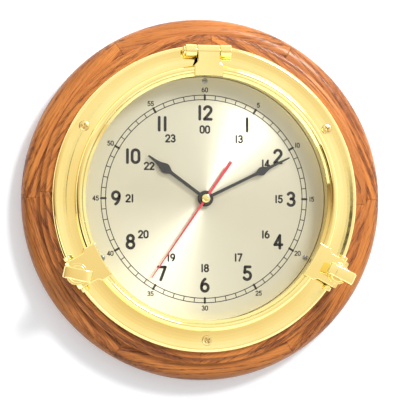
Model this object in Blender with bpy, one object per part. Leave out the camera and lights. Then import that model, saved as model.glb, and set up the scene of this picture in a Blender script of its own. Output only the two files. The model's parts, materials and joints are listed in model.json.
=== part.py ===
"""Porthole wall clock: an oak ring, a brass ship's-window case with a hinged glazed
door and two swing-bolt dogs, a printed dial, three hands and a quartz movement.

The clock is modelled lying on its back: X to the right, Y to twelve o'clock and Z, the
depth, from the oak's back towards the viewer. An empty stands it up, so that it hangs on
a wall behind +Y and faces -Y, with the world origin where the wall screw carries it.
"""

import math

import bmesh
import bpy
from mathutils import Matrix, Vector

MM = 0.001

# Fits
GAP = 0.3 * MM
SIDE_GAP = 0.5 * MM
TURNING_GAP = 0.4 * MM
FIT_CLEARANCE = 0.2 * MM
GLUE_GAP = 0.2 * MM
# How far a cutter runs past its piece, and a fused part into its neighbour
OVERLAP = 1.0 * MM

# Facets of round shapes
RING_STEPS = 56
INNER_STEPS = 40
ROUND_STEPS = 16
SMALL_STEPS = 12
STAVE_STEPS_DEG = 6.0
MERGE = 0.01 * MM

# Sight: the glass that shows, from which the rings follow outwards
SIGHT_RADIUS = 112.5 * MM
DOOR_BAND = 10.0 * MM
DOOR_RADIUS = SIGHT_RADIUS + DOOR_BAND

# Brass case: a tube with a flange, and a ledge for the dial
FLANGE_MARGIN = 20.0 * MM
FLANGE_RADIUS = DOOR_RADIUS + FLANGE_MARGIN
FLANGE_THICKNESS = 5.0 * MM
FLANGE_ROLL = 3.4 * MM
BORE_STEP = 1.8 * MM
TUBE_WALL = 3.7 * MM
LEDGE_WIDTH = 5.8 * MM
LEDGE_THICKNESS = 2.0 * MM
TUBE_BORE = SIGHT_RADIUS + BORE_STEP
TUBE_RADIUS = TUBE_BORE + TUBE_WALL
LEDGE_BORE = TUBE_BORE - LEDGE_WIDTH
DIAL_BELOW_FLANGE = 14.3 * MM

# Oak ring: a thick back course of six staves, a thin front course of four
OAK_BORE = TUBE_RADIUS + SIDE_GAP
FRONT_MARGIN = 11.0 * MM
BACK_MARGIN = 16.5 * MM
FRONT_COURSE_RADIUS = FLANGE_RADIUS + FRONT_MARGIN
OAK_RADIUS = FRONT_COURSE_RADIUS + BACK_MARGIN
BACK_COURSE = 23.8 * MM
FRONT_COURSE = 8.0 * MM
COVE_WIDTH = 5.5 * MM
COVE_DROP = 4.0 * MM
EDGE_ROUND = 13.0 * MM
BACK_CHAMFER = 1.5 * MM
BACK_STAVES = 6
FRONT_STAVES = 4
FRONT_STAVE_TURN = math.radians(-2.0)

# Screws that hold the case to the oak
SCREW_SETBACK = 8.5 * MM
SCREW_CIRCLE = DOOR_RADIUS + SCREW_SETBACK
SCREW_ANGLES = (30.0, 150.0, 270.0)
SCREW_HEAD_RADIUS = 4.65 * MM
SCREW_HEAD_HEIGHT = 1.7 * MM
SCREW_SHANK_RADIUS = 1.9 * MM
SCREW_GRIP = 13.0 * MM
CROSS_LENGTH = 5.2 * MM
CROSS_WIDTH = 1.1 * MM
CROSS_DEPTH = 0.9 * MM

# Door: its moulding is given in from the rim and down from the crest
DOOR_HEIGHT = 11.9 * MM
MOULDING = (
    (0.0 * MM, 4.6 * MM),
    (0.9 * MM, 1.9 * MM),
    (2.7 * MM, 0.3 * MM),
    (4.4 * MM, 0.0 * MM),
    (5.9 * MM, 0.5 * MM),
    (7.1 * MM, 1.9 * MM),
    (7.2 * MM, 3.0 * MM),
)
LIP_DROP = 4.6 * MM
TONGUE_RISE = 0.5 * MM
TONGUE_ROOT = 2.0 * MM
REBATE_WIDTH = 5.0 * MM
REBATE_RADIUS = SIGHT_RADIUS + REBATE_WIDTH
GLASS_RADIUS = REBATE_RADIUS - TURNING_GAP
GLASS_THICKNESS = 3.2 * MM
GLASS_BEVEL = 0.8 * MM
SEAL_THICKNESS = 0.6 * MM
SEAL_WIDTH = 3.6 * MM
RETAINER_THICKNESS = 1.7 * MM
RETAINER_WIDTH = 3.9 * MM
RETAINER_RECESS = 0.6 * MM

# Door hinge at twelve o'clock
HINGE_SETBACK = 12.9 * MM
HINGE_DISTANCE = DOOR_RADIUS + HINGE_SETBACK
KNUCKLE_LIFT = 0.7 * MM
KNUCKLE_WIDTH = 20.6 * MM
KNUCKLE_WEB = 2.0 * MM
LUG_WALL = 0.2 * MM
LUG_WIDTH = 10.5 * MM
HINGE_PIN_RADIUS = 2.4 * MM
PIN_HEAD_RADIUS = 4.7 * MM
PIN_HEAD_HEIGHT = 2.4 * MM

# Dogs: swing bolts that clamp the door's forked tongues
DOG_ANGLES = {"left": 210.0, "right": 330.0}
NUT_TURN_DEG = {"left": -42.0, "right": 3.0}
PIVOT_SETBACK = 16.5 * MM
PIVOT_DISTANCE = DOOR_RADIUS + PIVOT_SETBACK
PIVOT_LIFT = 2.7 * MM
PIVOT_PIN_RADIUS = 2.0 * MM
TONGUE_WIDTH = 27.0 * MM
TONGUE_REACH = 5.5 * MM
EAR_WIDTH = 4.0 * MM
EAR_RADIUS = 3.8 * MM
EYE_RADIUS = 4.6 * MM
EYE_WIDTH = 7.0 * MM
NOTCH_GAP = 0.7 * MM
SLOT_WIDTH = EYE_WIDTH + 2 * SIDE_GAP
SLOT_SETBACK = 2.6 * MM
BOLT_RADIUS = 3.0 * MM
BOLT_END_GAP = 1.1 * MM
WASHER_RADIUS = 10.0 * MM
WASHER_THICKNESS = 1.5 * MM
WASHER_STEPS = 24
COLLAR_RADIUS = 8.0 * MM
COLLAR_HEIGHT = 3.4 * MM
WING_LENGTH = 26.6 * MM
WING_THICKNESS = 11.0 * MM
WING_HEIGHT = 13.4 * MM
NUT_BORE_DEPTH = 11.0 * MM

# Dial
DIAL_RADIUS = TUBE_BORE - TURNING_GAP
DIAL_THICKNESS = 1.2 * MM
DIAL_SCREW_INSET = 2.0 * MM
DIAL_SCREW_CIRCLE = LEDGE_BORE + DIAL_SCREW_INSET
DIAL_SCREW_ANGLES = (90.0, 210.0, 330.0)
DIAL_SCREW_RADIUS = 1.1 * MM
DIAL_SCREW_HEAD = 2.5 * MM
DIAL_SCREW_HEIGHT = 1.0 * MM

# Hands, turned clockwise from twelve
HOUR_DEG = 306.6
HOUR_LENGTH = 66.6 * MM
HOUR_STEM = 3.1 * MM
HOUR_BULB_PLACE = 46.9 * MM
HOUR_BULB_RADIUS = 4.9 * MM
HOUR_NECK = 3.4 * MM
HOUR_HUB_RADIUS = 7.4 * MM
MINUTE_DEG = 64.1
MINUTE_LENGTH = 88.6 * MM
MINUTE_STEM = 2.8 * MM
MINUTE_BULB_PLACE = 59.0 * MM
MINUTE_BULB_RADIUS = 4.3 * MM
MINUTE_NECK = 3.0 * MM
MINUTE_HUB_RADIUS = 6.4 * MM
SECOND_DEG = 214.5
SECOND_LENGTH = 89.4 * MM
SECOND_TAIL = 41.8 * MM
SECOND_TAIL_WIDTH = 3.2 * MM
SECOND_STEM = 2.2 * MM
SECOND_TIP = 0.9 * MM
SECOND_BOSS_WIDTH = 5.8 * MM
SECOND_BOSS_LENGTH = 4.0 * MM
SECOND_BOSS_TAPER = 2.0 * MM
HAND_THICKNESS = 0.6 * MM
HAND_SPACING = 1.2 * MM
CAP_RADIUS = 4.0 * MM
CAP_HEIGHT = 1.4 * MM

# Quartz movement: its case is sized by the cell that it holds
BATTERY_RADIUS = 7.05 * MM
BATTERY_LENGTH = 49.0 * MM
BATTERY_NUB_RADIUS = 2.7 * MM
BATTERY_NUB_LENGTH = 1.4 * MM
CONTACT_THICKNESS = 0.5 * MM
CONTACT_WIDTH = 8.0 * MM
CONTACT_HEIGHT = 9.0 * MM
CONTACT_BACK_GAP = 0.8 * MM
CASE_WALL = 1.2 * MM
COVER_THICKNESS = 1.2 * MM
BAY_SIDE_GAP = 0.7 * MM
BAY_FLOOR_GAP = 0.8 * MM
BAY_HEIGHT = 2 * (BATTERY_RADIUS + BAY_SIDE_GAP)
CASE_SIDE = BATTERY_LENGTH + BATTERY_NUB_LENGTH + 2 * (
    GAP + CONTACT_THICKNESS + CONTACT_BACK_GAP + CASE_WALL
)
CASE_DEPTH = GAP + 2 * BATTERY_RADIUS + BAY_FLOOR_GAP + CASE_WALL
SEAT_WASHER_THICKNESS = 0.9 * MM
SEAT_WASHER_RADIUS = 9.0 * MM
BUSH_RADIUS = 3.9 * MM
BUSH_BORE = 2.9 * MM
BUSH_STEPS = 20
BUSH_PROUD = 0.6 * MM
NUT_ACROSS_CORNERS = 12.7 * MM
NUT_HEIGHT = 2.3 * MM
KNOB_RADIUS = 5.0 * MM
KNOB_HEIGHT = 2.4 * MM
KNOB_STEPS = 24

# Gear train: every satellite arbor stands at one distance from the hand shaft
TRAIN_DISTANCE = 8.6 * MM
ROTOR_DISTANCE = 6.3 * MM
ROTOR_DIRECTION = math.radians(60.0)
KNOB_DIRECTION = math.radians(120.0)
WHEEL_THICKNESS = 0.8 * MM
LEVEL_PITCH = 1.65 * MM
ARBOR_RADIUS = 0.45 * MM
KNOB_ARBOR_RADIUS = 0.9 * MM
SECOND_ARBOR_RADIUS = 0.55 * MM
MINUTE_PIPE_WALL = 0.8 * MM
HOUR_PIPE_WALL = 0.6 * MM
MINUTE_PIPE_BORE = SECOND_ARBOR_RADIUS + GAP
MINUTE_PIPE_RADIUS = MINUTE_PIPE_BORE + MINUTE_PIPE_WALL
HOUR_PIPE_BORE = MINUTE_PIPE_RADIUS + GAP
HOUR_PIPE_RADIUS = HOUR_PIPE_BORE + HOUR_PIPE_WALL
CLUTCH_RADIUS = 1.3 * MM
CANNON_TEETH = 8
MINUTE_WHEEL_TEETH = 24
MINUTE_PINION_TEETH = 8
HOUR_WHEEL_TEETH = 32
KNOB_TEETH = 8
SECOND_PINION_TEETH = 6
THIRD_WHEEL_TEETH = 48
THIRD_PINION_TEETH = 6
CENTRE_WHEEL_TEETH = 45
SECOND_WHEEL_TEETH = 30
MIDDLE_PINION_TEETH = 6
MIDDLE_WHEEL_TEETH = 36
ROTOR_PINION_TEETH = 6

# Stepping motor and circuit board
MAGNET_RADIUS = 3.0 * MM
MAGNET_HEIGHT = 2.8 * MM
STATOR_THICKNESS = 1.0 * MM
STATOR_BORE_GAP = 0.6 * MM
STATOR_RIM = 0.5 * MM
STATOR_LEG = 5.0 * MM
STATOR_SIDE_GAP = 2.6 * MM
STATOR_TOP_GAP = 2.0 * MM
COIL_RADIUS = 4.3 * MM
COIL_WIRE = 1.4 * MM
COIL_LENGTH = 11.0 * MM
BOARD_THICKNESS = 1.0 * MM
BOARD_MARGIN = 1.0 * MM
BOARD_ARBOR_GAP = 2.0 * MM

# Hanger and wall pads
HOOK_SETBACK = 5.5 * MM
HOOK_HEIGHT = OAK_BORE - HOOK_SETBACK
HANGER_WIDTH = 28.0 * MM
HANGER_CORNER = 4.0 * MM
HANGER_THICKNESS = 1.5 * MM
HANGER_TOP = 34.0 * MM
HANGER_BOTTOM = 14.0 * MM
KEYHOLE_RADIUS = 5.0 * MM
KEYHOLE_DROP = 7.5 * MM
KEYHOLE_SLOT = 5.0 * MM
HANGER_SCREWS = (13.5 * MM, 27.0 * MM)
HANGER_SCREW_RADIUS = 1.7 * MM
HANGER_SCREW_HEAD = 3.4 * MM
HANGER_SCREW_HEIGHT = 1.1 * MM
HANGER_SCREW_GRIP = 12.0 * MM
PAD_RADIUS = 6.0 * MM
PAD_THICKNESS = 3.2 * MM
PAD_INSET = 22.0 * MM
PAD_CIRCLE = OAK_RADIUS - PAD_INSET
PAD_ANGLES = {"left": 250.0, "right": 290.0}

# Depths that follow, from the oak's back to the front
OAK_FRONT = BACK_COURSE + GLUE_GAP + FRONT_COURSE
FLANGE_BACK = OAK_FRONT + GAP
FLANGE_FRONT = FLANGE_BACK + FLANGE_THICKNESS
DIAL_FRONT = FLANGE_FRONT - DIAL_BELOW_FLANGE
DIAL_BACK = DIAL_FRONT - DIAL_THICKNESS
LEDGE_FRONT = DIAL_BACK - GAP
LEDGE_BACK = LEDGE_FRONT - LEDGE_THICKNESS
DOOR_BACK = FLANGE_FRONT + GAP
DOOR_CREST = DOOR_BACK + DOOR_HEIGHT
TONGUE_FRONT = DOOR_CREST + TONGUE_RISE
KNUCKLE_RADIUS = (TONGUE_FRONT - FLANGE_FRONT - KNUCKLE_LIFT) / 2
LUG_RADIUS = KNUCKLE_RADIUS + LUG_WALL
HINGE_DEPTH = TONGUE_FRONT - KNUCKLE_RADIUS
PIVOT_DEPTH = FLANGE_FRONT + PIVOT_LIFT
TONGUE_BACK = PIVOT_DEPTH + PIVOT_PIN_RADIUS + TURNING_GAP
WASHER_SEAT = TONGUE_FRONT + GAP - PIVOT_DEPTH
NUT_SEAT = WASHER_SEAT + WASHER_THICKNESS + GAP
BOLT_LENGTH = NUT_SEAT + NUT_BORE_DEPTH - BOLT_END_GAP
RETAINER_BACK = DOOR_BACK + RETAINER_RECESS
GLASS_BACK = RETAINER_BACK + RETAINER_THICKNESS + GAP
GLASS_FRONT = GLASS_BACK + GLASS_THICKNESS
SEAL_BACK = GLASS_FRONT + FIT_CLEARANCE
REBATE_FRONT = SEAL_BACK + SEAL_THICKNESS + FIT_CLEARANCE
CASE_FRONT = DIAL_BACK - SEAT_WASHER_THICKNESS - SIDE_GAP
CASE_BACK = CASE_FRONT - CASE_DEPTH
CASE_INNER_FRONT = CASE_FRONT - CASE_WALL
COVER_FRONT = CASE_BACK + COVER_THICKNESS
ARBOR_BACK = COVER_FRONT + GAP
ARBOR_FRONT = CASE_INNER_FRONT - GAP
SHAFT_NUT_BACK = DIAL_FRONT + GAP
BUSH_END = SHAFT_NUT_BACK + NUT_HEIGHT + BUSH_PROUD
HOUR_HAND_BACK = BUSH_END + TURNING_GAP
MINUTE_HAND_BACK = HOUR_HAND_BACK + HAND_THICKNESS + HAND_SPACING
SECOND_HAND_BACK = MINUTE_HAND_BACK + HAND_THICKNESS + HAND_SPACING

BRASS = ((0.86, 0.66, 0.28, 1), 0.15, 1.0)
DARK_BRASS = ((0.62, 0.47, 0.2, 1), 0.35, 1.0)
OAK = ((0.55, 0.27, 0.1, 1), 0.45, 0.0)
STEEL = ((0.6, 0.6, 0.6, 1), 0.3, 1.0)
BLACK = ((0.03, 0.03, 0.03, 1), 0.5, 0.0)
RUBBER = ((0.04, 0.04, 0.04, 1), 0.85, 0.0)
CHAMPAGNE = ((0.68, 0.62, 0.46, 1), 0.35, 0.6)
RED = ((0.6, 0.05, 0.07, 1), 0.4, 0.0)
GLASS = ((0.9, 0.95, 0.95, 0.2), 0.02, 0.0)
WHITE_PLASTIC = ((0.8, 0.8, 0.76, 1), 0.5, 0.0)
GREEN = ((0.05, 0.25, 0.1, 1), 0.5, 0.0)
COPPER = ((0.7, 0.3, 0.15, 1), 0.3, 1.0)


def clear_scene():
    """Remove every object that the file starts with."""
    for thing in list(bpy.data.objects):
        bpy.data.objects.remove(thing, do_unlink=True)


def material(name, look):
    """A Principled material of a colour, a roughness and a metallic value."""
    found = bpy.data.materials.get(name)
    if found:
        return found
    colour, roughness, metallic = look
    made = bpy.data.materials.new(name)
    made.use_nodes = True
    shader = made.node_tree.nodes["Principled BSDF"]
    shader.inputs["Base Color"].default_value = colour
    shader.inputs["Roughness"].default_value = roughness
    shader.inputs["Metallic"].default_value = metallic
    made.diffuse_color = colour
    return made


def to_object(bm, name):
    """A mesh object from a bmesh, with its faces pointing outwards."""
    bmesh.ops.recalc_face_normals(bm, faces=bm.faces)
    mesh = bpy.data.meshes.new(name)
    bm.to_mesh(mesh)
    bm.free()
    made = bpy.data.objects.new(name, mesh)
    bpy.context.collection.objects.link(made)
    return made


def turned(name, profile, steps=RING_STEPS, start=0.0, sweep=2 * math.pi):
    """Turn a closed outline of (radius, depth) points about Z, all round or by a sweep.

    Points at radius zero close the shape on its axis.
    """
    bm = bmesh.new()
    ring = [bm.verts.new((r * math.cos(start), r * math.sin(start), z)) for r, z in profile]
    face = bm.faces.new(ring)
    whole = sweep >= 2 * math.pi - 1e-9
    if whole:
        bm.faces.remove(face)
        edges = [e for e in bm.edges if any(v.co.xy.length > MERGE for v in e.verts)]
        bmesh.ops.spin(bm, geom=edges, axis=(0, 0, 1), cent=(0, 0, 0), angle=sweep, steps=steps)
        bmesh.ops.remove_doubles(bm, verts=bm.verts, dist=MERGE)
        loose = [e for e in bm.edges if not e.link_faces]
        bmesh.ops.delete(bm, geom=loose, context="EDGES")
    else:
        bmesh.ops.spin(
            bm, geom=[face], axis=(0, 0, 1), cent=(0, 0, 0), angle=sweep, steps=steps
        )
    return to_object(bm, name)


def arc(centre, radius, start_deg, end_deg, steps):
    """Points along an arc about a centre, both ends included."""
    return [
        (
            centre[0] + radius * math.cos(math.radians(start_deg + (end_deg - start_deg) * i / steps)),
            centre[1] + radius * math.sin(math.radians(start_deg + (end_deg - start_deg) * i / steps)),
        )
        for i in range(steps + 1)
    ]


def prism(name, outline, low, high, turn=None):
    """Extrude a flat outline along Z from low to high, then turn it with a matrix."""
    bm = bmesh.new()
    face = bm.faces.new([bm.verts.new((x, y, low)) for x, y in outline])
    lifted = bmesh.ops.extrude_face_region(bm, geom=[face])["geom"]
    points = [v for v in lifted if isinstance(v, bmesh.types.BMVert)]
    bmesh.ops.translate(bm, verts=points, vec=(0, 0, high - low))
    if turn is not None:
        bm.transform(turn)
    return to_object(bm, name)


def box(name, low, high):
    """A block between two corners."""
    outline = [(low[0], low[1]), (high[0], low[1]), (high[0], high[1]), (low[0], high[1])]
    return prism(name, outline, low[2], high[2])


def rod(name, radius, low, high, at=(0.0, 0.0), steps=ROUND_STEPS):
    """A round bar along Z."""
    return prism(name, arc(at, radius, 0, 360 - 360 / steps, steps - 1), low, high)


def tube(name, radius, bore, low, high, steps=ROUND_STEPS):
    """A round tube along Z."""
    return turned(name, [(bore, low), (radius, low), (radius, high), (bore, high)], steps)


ALONG_X = Matrix(((0, 0, 1, 0), (1, 0, 0, 0), (0, 1, 0, 0), (0, 0, 0, 1)))
ALONG_Y = Matrix(((1, 0, 0, 0), (0, 0, -1, 0), (0, 1, 0, 0), (0, 0, 0, 1)))


def moved(thing, matrix):
    """Move a piece's mesh."""
    thing.data.transform(matrix)
    return thing


def shifted(thing, x=0.0, y=0.0, z=0.0):
    """Shift a piece's mesh."""
    return moved(thing, Matrix.Translation((x, y, z)))


def about_z(degrees):
    """A turn about the clock's axis."""
    return Matrix.Rotation(math.radians(degrees), 4, "Z")


def combine(target, other, operation):
    """Join or cut a piece with another, and keep the result in its mesh."""
    step = target.modifiers.new("solid", "BOOLEAN")
    step.operation = operation
    step.solver = "EXACT"
    step.object = other
    bpy.context.view_layer.update()
    graph = bpy.context.evaluated_depsgraph_get()
    mesh = bpy.data.meshes.new_from_object(target.evaluated_get(graph))
    target.modifiers.clear()
    target.data = mesh
    bpy.data.objects.remove(other, do_unlink=True)
    return target


def joined(target, *others):
    """Fuse pieces into one solid."""
    for other in others:
        combine(target, other, "UNION")
    return target


def cut(target, *others):
    """Cut pieces out of a solid."""
    for other in others:
        combine(target, other, "DIFFERENCE")
    return target


def place(thing, name, look_name, look, parent, origin=(0.0, 0.0, 0.0)):
    """Name a piece, give it its material and set it under its parent.

    The mesh is in the parent's space, and the object's origin goes to the given point.
    """
    thing.name = name
    thing.data.name = name
    thing.data.transform(Matrix.Translation(-Vector(origin)))
    thing.location = origin
    thing.parent = parent
    thing.data.materials.clear()
    thing.data.materials.append(material(look_name, look))
    thing.data.shade_smooth()
    thing.data.set_sharp_from_angle(angle=math.radians(32))
    return thing


def empty(name, parent=None, location=(0.0, 0.0, 0.0), rotation=(0.0, 0.0, 0.0)):
    """An empty that carries pieces."""
    made = bpy.data.objects.new(name, None)
    bpy.context.collection.objects.link(made)
    made.parent = parent
    made.location = location
    made.rotation_euler = rotation
    made.empty_display_size = 0.02
    return made


def polar(radius, degrees):
    """A point on a circle about the clock's axis."""
    return radius * math.cos(math.radians(degrees)), radius * math.sin(math.radians(degrees))


def oak_ring(clock):
    """The oak ring: a thick back course and a thin coved front course, each of staves."""
    outer = OAK_RADIUS
    shoulder = arc((outer - EDGE_ROUND, BACK_COURSE - EDGE_ROUND), EDGE_ROUND, 0, 90, 5)
    back = [
        (OAK_BORE, 0.0),
        (outer - BACK_CHAMFER, 0.0),
        (outer, BACK_CHAMFER),
        *shoulder,
        (OAK_BORE, BACK_COURSE),
    ]
    low = BACK_COURSE + GLUE_GAP
    cove = [
        (
            FRONT_COURSE_RADIUS - COVE_WIDTH * math.sin(t * math.pi / 2),
            OAK_FRONT - COVE_DROP * math.cos(t * math.pi / 2),
        )
        for t in (0.0, 1 / 3, 2 / 3, 1.0)
    ]
    front = [(OAK_BORE, low), (FRONT_COURSE_RADIUS, low), *cove, (OAK_BORE, OAK_FRONT)]
    for course, profile, count, turn in (
        ("back", back, BACK_STAVES, 0.0),
        ("front", front, FRONT_STAVES, FRONT_STAVE_TURN),
    ):
        middle = (OAK_BORE + profile[1][0]) / 2
        trim = GLUE_GAP / 2 / middle
        for i in range(count):
            start = turn + 2 * math.pi * i / count + trim
            sweep = 2 * math.pi / count - 2 * trim
            steps = round(math.degrees(sweep) / STAVE_STEPS_DEG)
            stave = turned("stave", profile, steps, start, sweep)
            for angle in SCREW_ANGLES:
                if math.degrees(start) < angle % 360 < math.degrees(start + sweep):
                    at = polar(SCREW_CIRCLE, angle)
                    tip = FLANGE_BACK - SCREW_GRIP - GAP
                    hole = rod("hole", SCREW_SHANK_RADIUS + GAP, tip, OAK_FRONT + GAP, at)
                    cut(stave, hole)
            if course == "back" and math.degrees(start) < 90 < math.degrees(start + sweep):
                for height in HANGER_SCREWS:
                    at = (0.0, HOOK_HEIGHT + height)
                    pilot = HANGER_SCREW_RADIUS + GAP
                    cut(stave, rod("pilot", pilot, -GAP, HANGER_SCREW_GRIP, at, SMALL_STEPS))
            place(stave, f"oak_{course}_stave_{i + 1}", "oak", OAK, clock)


def lug_outline(distance, depth, radius, foot):
    """A lug seen from the side: round over its pin, with straight flanks to its foot."""
    return [
        (distance + radius, foot),
        *arc((distance, depth), radius, 0, 180, 10),
        (distance - radius, foot),
    ]


def base_ring(clock):
    """The brass case: flange, tube and dial ledge, with hinge lugs and the dogs' ears."""
    roll = arc((FLANGE_RADIUS - FLANGE_ROLL, FLANGE_FRONT - FLANGE_ROLL), FLANGE_ROLL, 0, 90, 4)
    profile = [
        (LEDGE_BORE, LEDGE_BACK),
        (TUBE_RADIUS, LEDGE_BACK),
        (TUBE_RADIUS, FLANGE_BACK),
        (FLANGE_RADIUS - SIDE_GAP, FLANGE_BACK),
        *roll,
        (TUBE_BORE, FLANGE_FRONT),
        (TUBE_BORE, LEDGE_FRONT),
        (LEDGE_BORE, LEDGE_FRONT),
    ]
    ring = turned("case", profile)
    foot = FLANGE_BACK + OVERLAP
    inner = KNUCKLE_WIDTH / 2 + SIDE_GAP
    for side in (-1, 1):
        span = sorted((side * inner, side * (inner + LUG_WIDTH)))
        outline = lug_outline(HINGE_DISTANCE, HINGE_DEPTH, LUG_RADIUS, foot)
        joined(ring, prism("lug", outline, *span, turn=ALONG_X))
    reach = inner + LUG_WIDTH + OVERLAP
    bore = rod("bore", HINGE_PIN_RADIUS + GAP, -reach, reach, (HINGE_DISTANCE, HINGE_DEPTH))
    cut(ring, moved(bore, ALONG_X))
    for angle in DOG_ANGLES.values():
        ear_start = TONGUE_WIDTH / 2 + SIDE_GAP
        ear_end = ear_start + EAR_WIDTH
        turn = about_z(angle)
        for low, high in ((ear_start, ear_end), (-ear_end, -ear_start)):
            outline = lug_outline(PIVOT_DISTANCE, PIVOT_DEPTH, EAR_RADIUS, foot)
            ear = prism("ear", outline, -high, -low, turn=ALONG_Y)
            joined(ring, moved(ear, turn))
        pin_hole = rod(
            "pin_hole",
            PIVOT_PIN_RADIUS + GAP,
            -ear_end - OVERLAP,
            ear_end + OVERLAP,
            (PIVOT_DISTANCE, PIVOT_DEPTH),
        )
        half = EYE_WIDTH / 2 + NOTCH_GAP
        notch = box(
            "notch",
            (PIVOT_DISTANCE - EYE_RADIUS - SIDE_GAP, -half, PIVOT_DEPTH - EYE_RADIUS - GAP),
            (FLANGE_RADIUS + OVERLAP, half, FLANGE_FRONT + OVERLAP),
        )
        cut(ring, moved(pin_hole, turn @ ALONG_Y), moved(notch, turn))
    for angle in SCREW_ANGLES:
        at = polar(SCREW_CIRCLE, angle)
        reach = (FLANGE_BACK - OVERLAP, FLANGE_FRONT + OVERLAP)
        cut(ring, rod("hole", SCREW_SHANK_RADIUS + GAP, *reach, at))
    for angle in DIAL_SCREW_ANGLES:
        at = polar(DIAL_SCREW_CIRCLE, angle)
        reach = (LEDGE_BACK - OVERLAP, LEDGE_FRONT + OVERLAP)
        cut(ring, rod("hole", DIAL_SCREW_RADIUS + GAP, *reach, at, SMALL_STEPS))
    place(ring, "base_ring", "polished brass", BRASS, clock)


def screw(name, head, height, shank, under, tip, steps=ROUND_STEPS):
    """A screw along Z: a domed head from under its seat, and a pointed shank to its tip."""
    profile = [
        (0.0, tip),
        (shank * 0.4, tip),
        (shank, tip + shank),
        (shank, under),
        (head, under),
        (head, under + height * 0.35),
        (head * 0.75, under + height * 0.8),
        (head * 0.3, under + height),
        (0.0, under + height),
    ]
    return turned(name, profile, steps)


def cross_recess(top, length, width, depth):
    """The cutter of a cross recess."""
    low, high = top - depth, top + OVERLAP
    bars = [
        box("bar", (-x / 2, -y / 2, low), (x / 2, y / 2, high))
        for x, y in ((length, width), (width, length))
    ]
    return joined(*bars)


def case_screws(clock):
    """Three oval-head screws through the flange into the oak."""
    under = FLANGE_FRONT + GAP
    for i, angle in enumerate(SCREW_ANGLES):
        made = screw(
            "screw",
            SCREW_HEAD_RADIUS,
            SCREW_HEAD_HEIGHT,
            SCREW_SHANK_RADIUS,
            under,
            FLANGE_BACK - SCREW_GRIP,
            SMALL_STEPS,
        )
        top = under + SCREW_HEAD_HEIGHT
        cut(made, cross_recess(top, CROSS_LENGTH, CROSS_WIDTH, CROSS_DEPTH))
        x, y = polar(SCREW_CIRCLE, angle)
        moved(made, Matrix.Translation((x, y, 0)) @ about_z(angle))
        place(made, f"flange_screw_{i + 1}", "screw brass", DARK_BRASS, clock)


def hinge_tongue():
    """The outline of the door's hinge tongue, from the sight to round its pin."""
    web = FLANGE_FRONT + KNUCKLE_LIFT + KNUCKLE_WEB
    foot_deg = math.degrees(math.asin((HINGE_DEPTH - web) / KNUCKLE_RADIUS)) - 180
    knuckle = arc((HINGE_DISTANCE, HINGE_DEPTH), KNUCKLE_RADIUS, foot_deg, 90, 14)
    root = DOOR_RADIUS - TONGUE_ROOT
    inside = SIGHT_RADIUS - OVERLAP
    return [(inside, REBATE_FRONT), (root, REBATE_FRONT), (root, web), *knuckle, (inside, TONGUE_FRONT)]


def dog_tongue():
    """The outline of a dog's tongue; its nose is an arc that the washer swings round."""
    nose_radius = TONGUE_FRONT - PIVOT_DEPTH
    nose_deg = math.degrees(math.acos(TONGUE_REACH / nose_radius))
    nose = arc((PIVOT_DISTANCE, PIVOT_DEPTH), nose_radius, nose_deg, 90, 4)
    root = DOOR_RADIUS - TONGUE_ROOT
    inside = SIGHT_RADIUS - OVERLAP
    return [
        (inside, REBATE_FRONT),
        (root, REBATE_FRONT),
        (root, TONGUE_BACK),
        (PIVOT_DISTANCE + TONGUE_REACH, TONGUE_BACK),
        *nose,
        (inside, TONGUE_FRONT),
    ]


def dog_slot():
    """The outline of the slot in a dog's tongue, open at its nose."""
    mouth = PIVOT_DISTANCE + TONGUE_REACH + OVERLAP
    half = SLOT_WIDTH / 2
    round_end = arc((PIVOT_DISTANCE - SLOT_SETBACK, 0), half, 90, 270, 8)
    return [(mouth, half), *round_end, (mouth, -half)]


def door_ring(hinge, to_hinge):
    """The door's moulded ring with its hinge tongue and two forked tongues."""
    inside = SIGHT_RADIUS - OVERLAP
    crest = [(DOOR_RADIUS - across, DOOR_CREST - down) for across, down in MOULDING]
    profile = [
        (inside, DOOR_BACK),
        (DOOR_RADIUS, DOOR_BACK),
        *crest,
        (inside, DOOR_CREST - LIP_DROP),
    ]
    ring = turned("door", profile)
    half = KNUCKLE_WIDTH / 2
    joined(ring, prism("tongue", hinge_tongue(), -half, half, turn=ALONG_X))
    side = TONGUE_WIDTH / 2
    for angle in DOG_ANGLES.values():
        tongue = prism("tongue", dog_tongue(), -side, side, turn=ALONG_Y)
        joined(ring, moved(tongue, about_z(angle)))
    low, high = DOOR_BACK - OVERLAP, TONGUE_FRONT + OVERLAP
    sight = rod("sight", SIGHT_RADIUS, low, high, steps=RING_STEPS)
    rebate = rod("rebate", REBATE_RADIUS, low, REBATE_FRONT, steps=RING_STEPS)
    cut(ring, sight, rebate)
    for angle in DOG_ANGLES.values():
        slot = prism("slot", dog_slot(), TONGUE_BACK - OVERLAP, high)
        cut(ring, moved(slot, about_z(angle)))
    reach = (-half - OVERLAP, half + OVERLAP)
    bore = rod("bore", HINGE_PIN_RADIUS + TURNING_GAP, *reach, (HINGE_DISTANCE, HINGE_DEPTH))
    cut(ring, moved(bore, ALONG_X))
    place(moved(ring, to_hinge), "door_ring", "polished brass", BRASS, hinge)


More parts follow.
